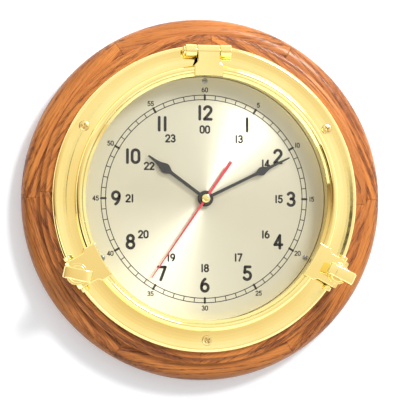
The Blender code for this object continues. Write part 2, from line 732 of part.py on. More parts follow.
def door(clock):
    """The glazed door on its hinge: ring, glass, seal and retainer."""
    at = (0.0, HINGE_DISTANCE, HINGE_DEPTH)
    hinge = empty("door_axis", clock, at)
    to_hinge = Matrix.Translation(-Vector(at))
    door_ring(hinge, to_hinge)
    pane = [
        (0.0, GLASS_BACK),
        (GLASS_RADIUS, GLASS_BACK),
        (GLASS_RADIUS, GLASS_FRONT - GLASS_BEVEL),
        (GLASS_RADIUS - GLASS_BEVEL, GLASS_FRONT),
        (0.0, GLASS_FRONT),
    ]
    glass = turned("pane", pane, INNER_STEPS)
    place(moved(glass, to_hinge), "door_glass", "clear glass", GLASS, hinge)
    for name, width, back, thickness, look_name, look in (
        ("glass_seal", SEAL_WIDTH, SEAL_BACK, SEAL_THICKNESS, "black rubber", RUBBER),
        (
            "glass_retainer",
            RETAINER_WIDTH,
            RETAINER_BACK,
            RETAINER_THICKNESS,
            "polished brass",
            BRASS,
        ),
    ):
        bore = GLASS_RADIUS - width
        ring = tube(name, GLASS_RADIUS, bore, back, back + thickness, INNER_STEPS)
        place(moved(ring, to_hinge), name, look_name, look, hinge)


def hinge_pin(clock):
    """The hinge pin with its round head at the left."""
    reach = KNUCKLE_WIDTH / 2 + SIDE_GAP + LUG_WIDTH
    seat = -reach - GAP
    profile = [
        (0.0, seat - PIN_HEAD_HEIGHT),
        (PIN_HEAD_RADIUS * 0.5, seat - PIN_HEAD_HEIGHT * 0.88),
        (PIN_HEAD_RADIUS * 0.9, seat - PIN_HEAD_HEIGHT * 0.45),
        (PIN_HEAD_RADIUS, seat),
        (HINGE_PIN_RADIUS, seat),
        (HINGE_PIN_RADIUS, reach - GAP),
        (HINGE_PIN_RADIUS * 0.6, reach + GAP),
        (0.0, reach + GAP),
    ]
    pin = moved(turned("pin", profile, ROUND_STEPS), ALONG_X)
    shifted(pin, y=HINGE_DISTANCE, z=HINGE_DEPTH)
    place(pin, "hinge_pin", "polished brass", BRASS, clock)


def thumb_nut():
    """A thumb nut along Z from zero: a round collar under a thick rounded wing."""
    half = WING_LENGTH / 2
    foot = COLLAR_HEIGHT - OVERLAP
    shoulder = COLLAR_HEIGHT + WING_HEIGHT * 0.42
    rise = COLLAR_HEIGHT + WING_HEIGHT - shoulder
    crown = [
        (half * math.cos(math.radians(a)), shoulder + rise * math.sin(math.radians(a)))
        for a in range(0, 181, 20)
    ]
    outline = [(-half * 0.72, foot), (half * 0.72, foot), *crown]
    nut = tube("collar", COLLAR_RADIUS, BOLT_RADIUS + GAP, 0.0, COLLAR_HEIGHT)
    wing = prism("wing", outline, -WING_THICKNESS / 2, WING_THICKNESS / 2, turn=ALONG_Y)
    joined(nut, wing)
    return cut(nut, rod("bore", BOLT_RADIUS + GAP, -OVERLAP, NUT_BORE_DEPTH))


def dog(clock, side, angle):
    """One dog: a pin in the case's ears, an eye bolt on it, a washer and a thumb nut."""
    x, y = polar(PIVOT_DISTANCE, angle)
    pivot = empty(
        f"{side}_dog_axis", clock, (x, y, PIVOT_DEPTH), (0, 0, math.radians(angle))
    )
    reach = TONGUE_WIDTH / 2 + SIDE_GAP + EAR_WIDTH + GAP
    pin = moved(rod("pin", PIVOT_PIN_RADIUS, -reach, reach), ALONG_Y)
    place(pin, f"{side}_dog_pin", "polished brass", BRASS, pivot)

    bolt = moved(rod("eye", EYE_RADIUS, -EYE_WIDTH / 2, EYE_WIDTH / 2, steps=20), ALONG_Y)
    joined(bolt, rod("shank", BOLT_RADIUS, PIVOT_PIN_RADIUS + OVERLAP, BOLT_LENGTH))
    eye_bore = rod("bore", PIVOT_PIN_RADIUS + GAP, -EYE_WIDTH, EYE_WIDTH)
    cut(bolt, moved(eye_bore, ALONG_Y))
    place(bolt, f"{side}_swing_bolt", "polished brass", BRASS, pivot)

    bore = BOLT_RADIUS + TURNING_GAP
    top = WASHER_SEAT + WASHER_THICKNESS
    washer = tube("washer", WASHER_RADIUS, bore, WASHER_SEAT, top, WASHER_STEPS)
    place(washer, f"{side}_dog_washer", "polished brass", BRASS, pivot)

    nut = moved(thumb_nut(), about_z(NUT_TURN_DEG[side]))
    shifted(nut, z=NUT_SEAT)
    place(nut, f"{side}_thumb_nut", "polished brass", BRASS, pivot)


def dial(clock):
    """The dial plate and its three small screws."""
    hole = BUSH_RADIUS + GAP
    plate = tube("dial", DIAL_RADIUS, hole, DIAL_BACK, DIAL_FRONT, INNER_STEPS)
    for angle in DIAL_SCREW_ANGLES:
        at = polar(DIAL_SCREW_CIRCLE, angle)
        reach = (DIAL_BACK - OVERLAP, DIAL_FRONT + OVERLAP)
        cut(plate, rod("hole", DIAL_SCREW_RADIUS + GAP, *reach, at, SMALL_STEPS))
    place(plate, "dial_plate", "champagne dial", CHAMPAGNE, clock)
    for i, angle in enumerate(DIAL_SCREW_ANGLES):
        under = DIAL_FRONT + FIT_CLEARANCE
        made = screw(
            "dial_screw",
            DIAL_SCREW_HEAD,
            DIAL_SCREW_HEIGHT,
            DIAL_SCREW_RADIUS,
            under,
            LEDGE_BACK,
            SMALL_STEPS,
        )
        x, y = polar(DIAL_SCREW_CIRCLE, angle)
        place(shifted(made, x, y), f"dial_screw_{i + 1}", "screw brass", DARK_BRASS, clock)


def bulb_hand(length, stem, bulb_at, bulb, neck, hub):
    """A hand's outline along +Y: round hub, slim stem, round bulb and a long point."""
    side = [
        (stem / 2, hub * math.cos(math.asin(stem / 2 / hub))),
        (stem / 2, bulb_at - bulb * 1.25),
        (bulb * 0.72, bulb_at - bulb * 0.7),
        (bulb, bulb_at),
        (bulb * 0.72, bulb_at + bulb * 0.75),
        (neck / 2, bulb_at + bulb * 1.7),
        (neck * 0.22, length),
    ]
    other = [(-x, y) for x, y in reversed(side)]
    start = math.degrees(math.asin(stem / 2 / hub))
    round_hub = arc((0, 0), hub, 90 + start, 450 - start, 18)[1:-1]
    return [*side, *other, *round_hub]


def second_outline():
    """The second hand's outline along +Y: blunt tail, wider boss and a slim point."""
    end = SECOND_BOSS_LENGTH / 2
    boss = SECOND_BOSS_WIDTH / 2
    side = [
        (SECOND_TAIL_WIDTH / 2, -SECOND_TAIL),
        (SECOND_STEM / 2, -end - SECOND_BOSS_TAPER),
        (boss, -end),
        (boss, end),
        (SECOND_STEM / 2, end + SECOND_BOSS_TAPER),
        (SECOND_TIP / 2, SECOND_LENGTH),
    ]
    return [*side, *((-x, y) for x, y in reversed(side))]


def hands(clock):
    """Three hands on the shaft of the movement, with a brass cap on the second hand."""
    hour = bulb_hand(
        HOUR_LENGTH, HOUR_STEM, HOUR_BULB_PLACE, HOUR_BULB_RADIUS, HOUR_NECK, HOUR_HUB_RADIUS
    )
    minute = bulb_hand(
        MINUTE_LENGTH,
        MINUTE_STEM,
        MINUTE_BULB_PLACE,
        MINUTE_BULB_RADIUS,
        MINUTE_NECK,
        MINUTE_HUB_RADIUS,
    )
    black, red = ("black paint", BLACK), ("red paint", RED)
    for name, outline, low, pipe, degrees, look in (
        ("hour_hand", hour, HOUR_HAND_BACK, HOUR_PIPE_RADIUS, HOUR_DEG, black),
        ("minute_hand", minute, MINUTE_HAND_BACK, MINUTE_PIPE_RADIUS, MINUTE_DEG, black),
        (
            "second_hand",
            second_outline(),
            SECOND_HAND_BACK,
            SECOND_ARBOR_RADIUS,
            SECOND_DEG,
            red,
        ),
    ):
        high = low + HAND_THICKNESS
        hand = prism(name, outline, low, high)
        reach = (low - OVERLAP, high + OVERLAP)
        cut(hand, rod("hole", pipe + FIT_CLEARANCE, *reach, steps=SMALL_STEPS))
        place(moved(hand, about_z(-degrees)), name, *look, clock)
    low = SECOND_HAND_BACK + HAND_THICKNESS + GAP
    dome = [
        (0.0, low),
        (CAP_RADIUS, low),
        (CAP_RADIUS, low + CAP_HEIGHT * 0.45),
        (CAP_RADIUS * 0.8, low + CAP_HEIGHT * 0.85),
        (CAP_RADIUS * 0.4, low + CAP_HEIGHT),
        (0.0, low + CAP_HEIGHT),
    ]
    place(turned("cap", dome, ROUND_STEPS), "centre_cap", "polished brass", BRASS, clock)


def movement_case(clock):
    """The movement's case with its threaded bush, its back cover and its fixings."""
    half = CASE_SIDE / 2
    inner = half - CASE_WALL
    bay_top = -half + CASE_WALL + BAY_HEIGHT
    back = CASE_BACK - OVERLAP
    shell = box("case", (-half, -half, CASE_BACK), (half, half, CASE_FRONT))
    joined(shell, rod("bush", BUSH_RADIUS, CASE_INNER_FRONT, BUSH_END, steps=BUSH_STEPS))
    works = box(
        "works",
        (-inner, bay_top + CASE_WALL, back),
        (inner, inner, CASE_INNER_FRONT),
    )
    bay = box("bay", (-inner, -inner, back), (inner, bay_top, CASE_INNER_FRONT))
    cut(shell, works, bay, rod("bore", BUSH_BORE, back, BUSH_END + OVERLAP, steps=BUSH_STEPS))
    place(shell, "movement_case", "black plastic", BLACK, clock)

    knob_at = knob_place()
    cover = box(
        "cover",
        (-inner + GAP, bay_top + CASE_WALL + GAP, CASE_BACK),
        (inner - GAP, inner - GAP, COVER_FRONT),
    )
    hole = rod("hole", KNOB_ARBOR_RADIUS + GAP, back, COVER_FRONT + OVERLAP, knob_at)
    place(cut(cover, hole), "movement_cover", "black plastic", BLACK, clock)

    seat = tube(
        "seat",
        SEAT_WASHER_RADIUS,
        BUSH_RADIUS + GAP,
        CASE_FRONT + SIDE_GAP / 2,
        CASE_FRONT + SIDE_GAP / 2 + SEAT_WASHER_THICKNESS,
        BUSH_STEPS,
    )
    place(seat, "rubber_washer", "black rubber", RUBBER, clock)
    low, high = SHAFT_NUT_BACK, SHAFT_NUT_BACK + NUT_HEIGHT
    nut = prism("nut", circle(NUT_ACROSS_CORNERS / 2, 6), low, high)
    reach = (low - OVERLAP, high + OVERLAP)
    cut(nut, rod("bore", BUSH_RADIUS + GAP, *reach, steps=BUSH_STEPS))
    place(nut, "shaft_nut", "polished brass", BRASS, clock)

    middle = -half + CASE_WALL + BAY_HEIGHT / 2
    depth = CASE_BACK + GAP + BATTERY_RADIUS
    cell_profile = [
        (0.0, -BATTERY_LENGTH / 2),
        (BATTERY_RADIUS, -BATTERY_LENGTH / 2),
        (BATTERY_RADIUS, BATTERY_LENGTH / 2),
        (BATTERY_NUB_RADIUS, BATTERY_LENGTH / 2),
        (BATTERY_NUB_RADIUS, BATTERY_LENGTH / 2 + BATTERY_NUB_LENGTH),
        (0.0, BATTERY_LENGTH / 2 + BATTERY_NUB_LENGTH),
    ]
    cell = moved(turned("cell", cell_profile, BUSH_STEPS), ALONG_X)
    shifted(cell, -BATTERY_NUB_LENGTH / 2, middle, depth)
    place(cell, "battery", "battery sleeve", RED, clock)
    reach = BATTERY_LENGTH / 2 + BATTERY_NUB_LENGTH / 2 + GAP
    for name, side in (("contact_positive", 1), ("contact_negative", -1)):
        ends = sorted((side * reach, side * (reach + CONTACT_THICKNESS)))
        low = (ends[0], middle - CONTACT_WIDTH / 2, depth - CONTACT_HEIGHT / 2)
        high = (ends[1], middle + CONTACT_WIDTH / 2, depth + CONTACT_HEIGHT / 2)
        place(box(name, low, high), name, "spring steel", STEEL, clock)


def knob_place():
    """The setting knob's place: geared to the minute wheel's arbor above the shaft."""
    return (
        TRAIN_DISTANCE * math.cos(KNOB_DIRECTION),
        TRAIN_DISTANCE + TRAIN_DISTANCE * math.sin(KNOB_DIRECTION),
    )


def level(number):
    """The lowest and highest depth of one level of wheels, counted from the front."""
    high = ARBOR_FRONT - 0.5 * MM - (number - 1) * LEVEL_PITCH
    return high - WHEEL_THICKNESS, high


def gear_outline(at, teeth, module, phase):
    """A gear's outline: straight-sided teeth, slim enough to run with play."""
    pitch = 2 * math.pi / teeth
    root = module * (teeth / 2 - 1.0)
    tip = module * (teeth / 2 + 0.8)
    points = []
    for i in range(teeth):
        middle = phase + i * pitch
        for radius, share in ((root, -0.25), (tip, -0.1), (tip, 0.1), (root, 0.25)):
            angle = middle + share * pitch
            points.append((at[0] + radius * math.cos(angle), at[1] + radius * math.sin(angle)))
    return points


def in_mesh(phase, teeth, other_teeth, direction):
    """The phase that puts another gear, lying in a direction, in mesh with this one."""
    return (
        direction + math.pi + math.pi / other_teeth - (phase - direction) * teeth / other_teeth
    )


def stacked(name, at, *parts):
    """A gear with its arbor: fuse (outline, low, high) prisms at one place."""
    made = None
    for outline, low, high in parts:
        piece = prism(name, outline, low, high)
        made = piece if made is None else joined(made, piece)
    return shifted(made, *at)


def circle(radius, steps=SMALL_STEPS):
    """A round outline about the middle."""
    return arc((0, 0), radius, 0, 360 - 360 / steps, steps - 1)


def train(clock):
    """The movement's wheels.

    The rotor drives the second wheel through the middle wheel, and the third wheel
    passes that on to the centre wheel. The cannon pinion slips in the centre wheel when
    the hands are set, and drives the hour wheel through the minute wheel.
    """
    here = (0.0, 0.0)
    up, left, right = math.pi / 2, math.pi, 0.0
    motion = 2 * TRAIN_DISTANCE / (CANNON_TEETH + MINUTE_WHEEL_TEETH)
    hour = 2 * TRAIN_DISTANCE / (MINUTE_PINION_TEETH + HOUR_WHEEL_TEETH)
    fast = 2 * TRAIN_DISTANCE / (SECOND_PINION_TEETH + THIRD_WHEEL_TEETH)
    slow = 2 * TRAIN_DISTANCE / (THIRD_PINION_TEETH + CENTRE_WHEEL_TEETH)
    first = 2 * TRAIN_DISTANCE / (MIDDLE_PINION_TEETH + SECOND_WHEEL_TEETH)
    rotor = 2 * ROTOR_DISTANCE / (ROTOR_PINION_TEETH + MIDDLE_WHEEL_TEETH)
    brass = ("wheel brass", DARK_BRASS, clock)

    minute_at = (0.0, TRAIN_DISTANCE)
    third_at = (-TRAIN_DISTANCE, 0.0)
    middle_at = (TRAIN_DISTANCE, 0.0)
    rotor_at = (
        TRAIN_DISTANCE + ROTOR_DISTANCE * math.cos(ROTOR_DIRECTION),
        ROTOR_DISTANCE * math.sin(ROTOR_DIRECTION),
    )

    hour_wheel = stacked(
        "hour",
        here,
        (gear_outline(here, HOUR_WHEEL_TEETH, hour, up), *level(1)),
        (circle(HOUR_PIPE_RADIUS), level(1)[0], HOUR_HAND_BACK + HAND_THICKNESS),
    )
    reach = (level(2)[0], MINUTE_HAND_BACK)
    cut(hour_wheel, rod("bore", HOUR_PIPE_BORE, *reach, steps=SMALL_STEPS))
    place(hour_wheel, "hour_wheel", *brass)

    cannon = stacked(
        "cannon",
        here,
        (gear_outline(here, CANNON_TEETH, motion, up), *level(2)),
        (circle(MINUTE_PIPE_RADIUS), level(2)[0], MINUTE_HAND_BACK + HAND_THICKNESS),
        (circle(CLUTCH_RADIUS), level(3)[0], level(2)[1]),
    )
    reach = (level(4)[0], SECOND_HAND_BACK)
    cut(cannon, rod("bore", MINUTE_PIPE_BORE, *reach, steps=SMALL_STEPS))
    place(cannon, "cannon_pinion", *brass)

    minute_phase = in_mesh(up, CANNON_TEETH, MINUTE_WHEEL_TEETH, up)
    pinion_phase = in_mesh(up, HOUR_WHEEL_TEETH, MINUTE_PINION_TEETH, up)
    minute_wheel = stacked(
        "minute",
        minute_at,
        (gear_outline(here, MINUTE_WHEEL_TEETH, motion, minute_phase), *level(2)),
        (gear_outline(here, MINUTE_PINION_TEETH, hour, pinion_phase), level(2)[0], level(1)[1]),
        (circle(ARBOR_RADIUS), level(2)[0] - GAP, ARBOR_FRONT),
    )
    place(minute_wheel, "minute_wheel", *brass, origin=(*minute_at, 0.0))

    knob_phase = in_mesh(minute_phase, MINUTE_WHEEL_TEETH, KNOB_TEETH, KNOB_DIRECTION)
    knob_foot = CASE_BACK - GAP
    knob = stacked(
        "knob",
        knob_place(),
        (gear_outline(here, KNOB_TEETH, motion, knob_phase), *level(2)),
        (circle(KNOB_ARBOR_RADIUS), knob_foot - OVERLAP, ARBOR_FRONT),
        (circle(KNOB_RADIUS, KNOB_STEPS), knob_foot - KNOB_HEIGHT, knob_foot),
    )
    place(knob, "setting_knob", "knob plastic", WHITE_PLASTIC, clock, (*knob_place(), 0.0))

    third_phase = in_mesh(0.0, SECOND_PINION_TEETH, THIRD_WHEEL_TEETH, left)
    centre_phase = in_mesh(0.0, THIRD_PINION_TEETH, CENTRE_WHEEL_TEETH, right)
    third = stacked(
        "third",
        third_at,
        (gear_outline(here, THIRD_WHEEL_TEETH, fast, third_phase), *level(4)),
        (gear_outline(here, THIRD_PINION_TEETH, slow, 0.0), level(4)[0], level(3)[1]),
        (circle(ARBOR_RADIUS), ARBOR_BACK, ARBOR_FRONT),
    )
    place(third, "third_wheel", *brass, origin=(*third_at, 0.0))

    centre = prism(
        "centre", gear_outline(here, CENTRE_WHEEL_TEETH, slow, centre_phase), *level(3)
    )
    reach = (level(3)[0] - OVERLAP, level(3)[1] + OVERLAP)
    bore = rod("bore", CLUTCH_RADIUS + FIT_CLEARANCE, *reach, steps=SMALL_STEPS)
    place(cut(centre, bore), "centre_wheel", *brass)

    second = stacked(
        "second",
        here,
        (gear_outline(here, SECOND_WHEEL_TEETH, first, 0.0), *level(5)),
        (gear_outline(here, SECOND_PINION_TEETH, fast, 0.0), level(5)[0], level(4)[1]),
        (circle(SECOND_ARBOR_RADIUS), ARBOR_BACK, SECOND_HAND_BACK + HAND_THICKNESS),
    )
    place(second, "second_wheel", *brass)

    middle_phase = in_mesh(0.0, SECOND_WHEEL_TEETH, MIDDLE_PINION_TEETH, right)
    middle = stacked(
        "middle",
        middle_at,
        (gear_outline(here, MIDDLE_WHEEL_TEETH, rotor, 0.0), *level(6)),
        (gear_outline(here, MIDDLE_PINION_TEETH, first, middle_phase), level(6)[0], level(5)[1]),
        (circle(ARBOR_RADIUS), ARBOR_BACK, ARBOR_FRONT),
    )
    place(middle, "middle_wheel", *brass, origin=(*middle_at, 0.0))

    rotor_phase = in_mesh(0.0, MIDDLE_WHEEL_TEETH, ROTOR_PINION_TEETH, ROTOR_DIRECTION)
    magnet_low = level(5)[0]
    spindle = stacked(
        "rotor",
        rotor_at,
        (
            gear_outline(here, ROTOR_PINION_TEETH, rotor, rotor_phase),
            level(6)[0],
            magnet_low + OVERLAP,
        ),
        (circle(MAGNET_RADIUS, ROUND_STEPS), magnet_low, magnet_low + MAGNET_HEIGHT),
        (circle(ARBOR_RADIUS), ARBOR_BACK, ARBOR_FRONT),
    )
    place(spindle, "rotor", "magnet", STEEL, clock, (*rotor_at, 0.0))
    drive(clock, rotor_at, magnet_low + (MAGNET_HEIGHT - STATOR_THICKNESS) / 2)


def drive(clock, rotor_at, low):
    """The stepping motor's stator and coil, and the circuit board."""
    inner = CASE_SIDE / 2 - CASE_WALL
    hole = MAGNET_RADIUS + STATOR_BORE_GAP
    rim = hole + STATOR_RIM
    left, bottom, shelf = rotor_at[0] - rim, rotor_at[1] - rim, rotor_at[1] + rim
    outer = inner - STATOR_SIDE_GAP
    leg_in = outer - STATOR_LEG
    top = inner - STATOR_TOP_GAP
    outline = [
        (left, bottom),
        (outer, bottom),
        (outer, top),
        (leg_in, top),
        (leg_in, shelf),
        (left, shelf),
    ]
    high = low + STATOR_THICKNESS
    stator = prism("stator", outline, low, high)
    cut(stator, rod("hole", hole, low - OVERLAP, high + OVERLAP, rotor_at))
    place(stator, "stator", "stator steel", STEEL, clock)

    half = COIL_LENGTH / 2
    bobbin = moved(tube("coil", COIL_RADIUS, COIL_RADIUS - COIL_WIRE, -half, half), ALONG_Y)
    shifted(bobbin, leg_in + STATOR_LEG / 2, (shelf + top) / 2, (low + high) / 2)
    place(bobbin, "coil", "copper wire", COPPER, clock)

    back = ARBOR_BACK + GAP
    front = back + BOARD_THICKNESS
    edge = inner - BOARD_MARGIN
    board = box("board", (-edge, TRAIN_DISTANCE + BOARD_ARBOR_GAP, back), (edge, edge, front))
    reach = (back - OVERLAP, front + OVERLAP)
    hole = rod("hole", KNOB_ARBOR_RADIUS + SIDE_GAP, *reach, knob_place())
    place(cut(board, hole), "circuit_board", "green board", GREEN, clock)


def hanger(clock):
    """The keyhole hanger on the oak's back with its two screws, and two wall pads."""
    low, high = -GAP - HANGER_THICKNESS, -GAP
    half = HANGER_WIDTH / 2
    top, bottom = HOOK_HEIGHT + HANGER_TOP, HOOK_HEIGHT - HANGER_BOTTOM
    corner = HANGER_CORNER
    outline = [
        *arc((half - corner, top - corner), corner, 0, 90, 3),
        *arc((-half + corner, top - corner), corner, 90, 180, 3),
        *arc((-half + corner, bottom + corner), corner, 180, 270, 3),
        *arc((half - corner, bottom + corner), corner, 270, 360, 3),
    ]
    plate = prism("plate", outline, low, high)
    slot = KEYHOLE_SLOT / 2
    eye = (0.0, HOOK_HEIGHT - KEYHOLE_DROP)
    open_deg = math.degrees(math.acos(slot / KEYHOLE_RADIUS))
    keyhole = [
        *arc((0.0, HOOK_HEIGHT - slot), slot, 0, 180, 6),
        *arc(eye, KEYHOLE_RADIUS, 180 - open_deg, 360 + open_deg, 14),
    ]
    reach = (low - OVERLAP, high + OVERLAP)
    cut(plate, prism("keyhole", keyhole, *reach))
    for height in HANGER_SCREWS:
        at = (0.0, HOOK_HEIGHT + height)
        cut(plate, rod("hole", HANGER_SCREW_RADIUS + GAP, *reach, at, SMALL_STEPS))
    place(plate, "hanger_plate", "zinc steel", STEEL, clock)
    for i, height in enumerate(HANGER_SCREWS):
        made = screw(
            "hanger_screw",
            HANGER_SCREW_HEAD,
            HANGER_SCREW_HEIGHT,
            HANGER_SCREW_RADIUS,
            HANGER_THICKNESS + 2 * GAP,
            -HANGER_SCREW_GRIP + GAP,
            SMALL_STEPS,
        )
        moved(made, Matrix.Rotation(math.pi, 4, "X"))
        shifted(made, y=HOOK_HEIGHT + height)
        place(made, f"hanger_screw_{i + 1}", "zinc steel", STEEL, clock)
    for side, angle in PAD_ANGLES.items():
        x, y = polar(PAD_CIRCLE, angle)
        pad = rod("pad", PAD_RADIUS, -GAP - PAD_THICKNESS, -GAP, (x, y))
        place(pad, f"{side}_wall_pad", "black rubber", RUBBER, clock)


def main():
    """Build the clock."""
    clear_scene()
    clock = empty("clock_axis", None, (0, 0, -HOOK_HEIGHT), (math.pi / 2, 0, 0))
    oak_ring(clock)
    base_ring(clock)
    case_screws(clock)
    door(clock)
    hinge_pin(clock)
    for side, angle in DOG_ANGLES.items():
        dog(clock, side, angle)
    dial(clock)
    hands(clock)
    movement_case(clock)
    train(clock)
    hanger(clock)
    bpy.context.view_layer.update()


main()
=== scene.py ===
"""Porthole wall clock: the looks of an oak ring, a polished brass ship's-window case with
its glazed door and swing-bolt dogs, a printed dial, hands and a quartz movement.

Each piece is worked out lying on its back, as it would be on a bench: X to the right, Y to
twelve o'clock, Z from the oak's back towards the viewer, with the hands' axis at the
middle. One matrix then hangs it on the wall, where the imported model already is.
"""

import json
import math

import bmesh
import bpy
import numpy as np
from bpy.props import FloatProperty, FloatVectorProperty, PointerProperty
from mathutils import Matrix, Vector


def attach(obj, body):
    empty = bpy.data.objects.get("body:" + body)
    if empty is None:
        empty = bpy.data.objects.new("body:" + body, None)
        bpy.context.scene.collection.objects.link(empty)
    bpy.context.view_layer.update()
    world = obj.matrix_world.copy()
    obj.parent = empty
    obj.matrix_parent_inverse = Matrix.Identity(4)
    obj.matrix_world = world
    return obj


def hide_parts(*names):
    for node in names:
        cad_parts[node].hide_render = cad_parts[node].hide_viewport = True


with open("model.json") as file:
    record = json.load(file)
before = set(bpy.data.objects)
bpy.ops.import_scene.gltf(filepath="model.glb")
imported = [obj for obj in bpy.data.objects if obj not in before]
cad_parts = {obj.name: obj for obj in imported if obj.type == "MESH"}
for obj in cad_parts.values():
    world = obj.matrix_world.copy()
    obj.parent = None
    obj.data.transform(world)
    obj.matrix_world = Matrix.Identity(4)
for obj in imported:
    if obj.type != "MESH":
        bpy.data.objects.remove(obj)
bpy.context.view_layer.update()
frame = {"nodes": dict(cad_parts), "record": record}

bl_info = {
    "name": "Porthole Clock",
    "version": (1, 0, 0),
    "blender": (4, 5, 0),
    "location": "3D View > Sidebar > Clock",
    "description": "Builds the wood, brass, dial, hands and works of a porthole wall clock",
    "category": "Add Mesh",
}

MM = 0.001
BEHAVIOUR = frame["record"]["behaviour"]
JOINTS = {joint["name"]: joint for joint in BEHAVIOUR["joints"]}
BODY_OF = {node: body for body, nodes in BEHAVIOUR["bodies"].items() for node in nodes}
AXIS_HEIGHT = JOINTS["minute_hand_turn"]["pos_m"][2]
HANG = Matrix(((1, 0, 0, 0), (0, 0, -1, 0), (0, 1, 0, AXIS_HEIGHT), (0, 0, 0, 1)))


def lying(node):
    """A node's points on the bench: the hanging matrix undone."""
    mesh = frame["nodes"][node].data
    points = np.empty(3 * len(mesh.vertices))
    mesh.vertices.foreach_get("co", points)
    points = points.reshape(-1, 3)
    return np.stack([points[:, 0], points[:, 2] - AXIS_HEIGHT, -points[:, 1]], -1)


def ring_of(node):
    """A round node's smallest and largest radius, and its lowest and highest depth."""
    points = lying(node)
    radius = np.hypot(points[:, 0], points[:, 1])
    return [float(v) for v in (radius.min(), radius.max(), points[:, 2].min(), points[:, 2].max())]


def bench_box(node):
    """A node's lowest and highest corner on the bench."""
    points = lying(node)
    return points.min(0), points.max(0)


def bench_point(joint):
    """A joint's point on the bench."""
    x, y, z = JOINTS[joint]["pos_m"]
    return np.array([x, z - AXIS_HEIGHT, -y])


# Rings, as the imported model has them
OAK_BORE, OAK_RADIUS, OAK_BACK, OAK_STEP = ring_of("oak_back_stave_1")
_, COURSE_RADIUS, COURSE_BACK, OAK_FRONT = ring_of("oak_front_stave_1")
DIAL_HOLE, DIAL_RADIUS, DIAL_BACK, DIAL_FRONT = ring_of("dial_plate")
_, GLASS_RADIUS, GLASS_BACK, GLASS_FRONT = ring_of("door_glass")
SEAL_BORE, _, SEAL_BACK, SEAL_FRONT = ring_of("glass_seal")
RETAINER_BORE, _, RETAINER_BACK, RETAINER_FRONT = ring_of("glass_retainer")
_, CAP_RADIUS, CAP_BACK, CAP_FRONT = ring_of("centre_cap")
HINGE = bench_point("door_hinge")
PIVOTS = {side: bench_point(f"{side}_bolt_swing") for side in ("left", "right")}
DOG_DISTANCE = float(np.hypot(*PIVOTS["right"][:2]))
DOG_DEPTH = float(PIVOTS["right"][2])
DOG_DEGREES = {s: math.degrees(math.atan2(p[1], p[0])) % 360 for s, p in PIVOTS.items()}

# Wood
COVE_WIDTH, COVE_DROP = 5.5 * MM, 4.0 * MM
EDGE_ROUND = 13.0 * MM
BACK_CHAMFER = 1.5 * MM
BACK_STAVES = [60.0 * i for i in range(6)]
FRONT_STAVES = [90.0 * i - 2.0 for i in range(4)]
GLUE_LINE = 0.12 * MM
STAVE_EASE = 0.3 * MM
GRAIN_SWEEP = 0.45
PLANK_TURNS, PLANK_SHIFT = (-4.0, 3.0, 5.0, -2.0), np.array([0.37, 0.11, 0.23])

# Brass case
FLANGE_RADIUS = 142.5 * MM
FLANGE_BACK, FLANGE_FRONT = OAK_FRONT + 0.3 * MM, OAK_FRONT + 5.3 * MM
FLANGE_ROLL = 3.4 * MM
FLANGE_DISH = 0.6 * MM
TUBE_RADIUS, TUBE_BORE = 118.0 * MM, 114.3 * MM
LEDGE_BORE, LEDGE_THICKNESS = 108.5 * MM, 2.0 * MM
LEDGE_FRONT = DIAL_BACK - 0.3 * MM
SCREW_CIRCLE, SCREW_DEGREES = 131.0 * MM, (30.0, 150.0, 270.0)
SCREW_HOLE, SCREW_SINK = 2.2 * MM, 2.75 * MM
DIAL_SCREW_CIRCLE, DIAL_SCREW_DEGREES = 110.5 * MM, (90.0, 210.0, 330.0)
DIAL_SCREW_HOLE = 1.4 * MM

# Door
DOOR_RADIUS, SIGHT_RADIUS, REBATE_RADIUS = 122.5 * MM, 112.5 * MM, 117.5 * MM
DOOR_BACK = FLANGE_FRONT + 0.3 * MM
DOOR_CREST = DOOR_BACK + 11.9 * MM
TONGUE_FRONT = DOOR_CREST + 0.45 * MM
REBATE_FRONT = SEAL_FRONT + 0.2 * MM
MOULDING = (
    (0.0, 4.6), (0.9, 1.9), (2.7, 0.3), (4.4, 0.0), (5.9, 0.5), (7.1, 1.9), (7.2, 3.0), (10.0, 4.6)
)
MOULDING_EASE = (0.3, 0.3, 1.6, 1.3, 1.3, 1.3, 1.0, 0.6, 0.5, 0.25, 0.15, 0.2)
TONGUE_ROOT = 120.5 * MM
KNUCKLE_RADIUS, KNUCKLE_HALF = 6.0 * MM, 10.3 * MM
KNUCKLE_WEB = 40.0 * MM
LUG_RADIUS, LUG_WIDTH, LUG_GAP, LUG_COVE = 6.2 * MM, 10.5 * MM, 0.5 * MM, 1.3 * MM
HINGE_BORE = 2.75 * MM
HINGE_PIN, PIN_HEAD, PIN_HEAD_HEIGHT = 2.4 * MM, 4.7 * MM, 2.4 * MM
FLARE_WIDTH, FLARE_LENGTH, FLARE_POWER = 3.2 * MM, 4.2 * MM, 1.6

# Dogs
TONGUE_HALF, TONGUE_REACH = 13.5 * MM, 5.5 * MM
TONGUE_BACK = DOG_DEPTH + 2.4 * MM
SLOT_HALF, SLOT_SETBACK = 4.0 * MM, 2.6 * MM
EAR_RADIUS, EAR_WIDTH = 3.8 * MM, 4.0 * MM
EYE_RADIUS, EYE_HALF = 4.6 * MM, 3.5 * MM
DOG_PIN, PIN_ROOM = 2.0 * MM, 0.3 * MM
BOLT_RADIUS, THREAD_PITCH, THREAD_DEPTH = 3.0 * MM, 1.0 * MM, 0.45 * MM
WASHER_RADIUS = 10.0 * MM
COLLAR_RADIUS, COLLAR_HEIGHT = 8.0 * MM, 3.4 * MM
WING_HALF, WING_THICKNESS, WING_HEIGHT = 13.3 * MM, 11.0 * MM, 13.2 * MM
NUT_BORE, NUT_BORE_DEPTH = 3.3 * MM, 11.0 * MM
CROWN_POWER, CROWN_FROM, WING_FOOT = 0.62, 0.55, 0.72
NUT_TURN = {"left": -42.0, "right": 3.0}

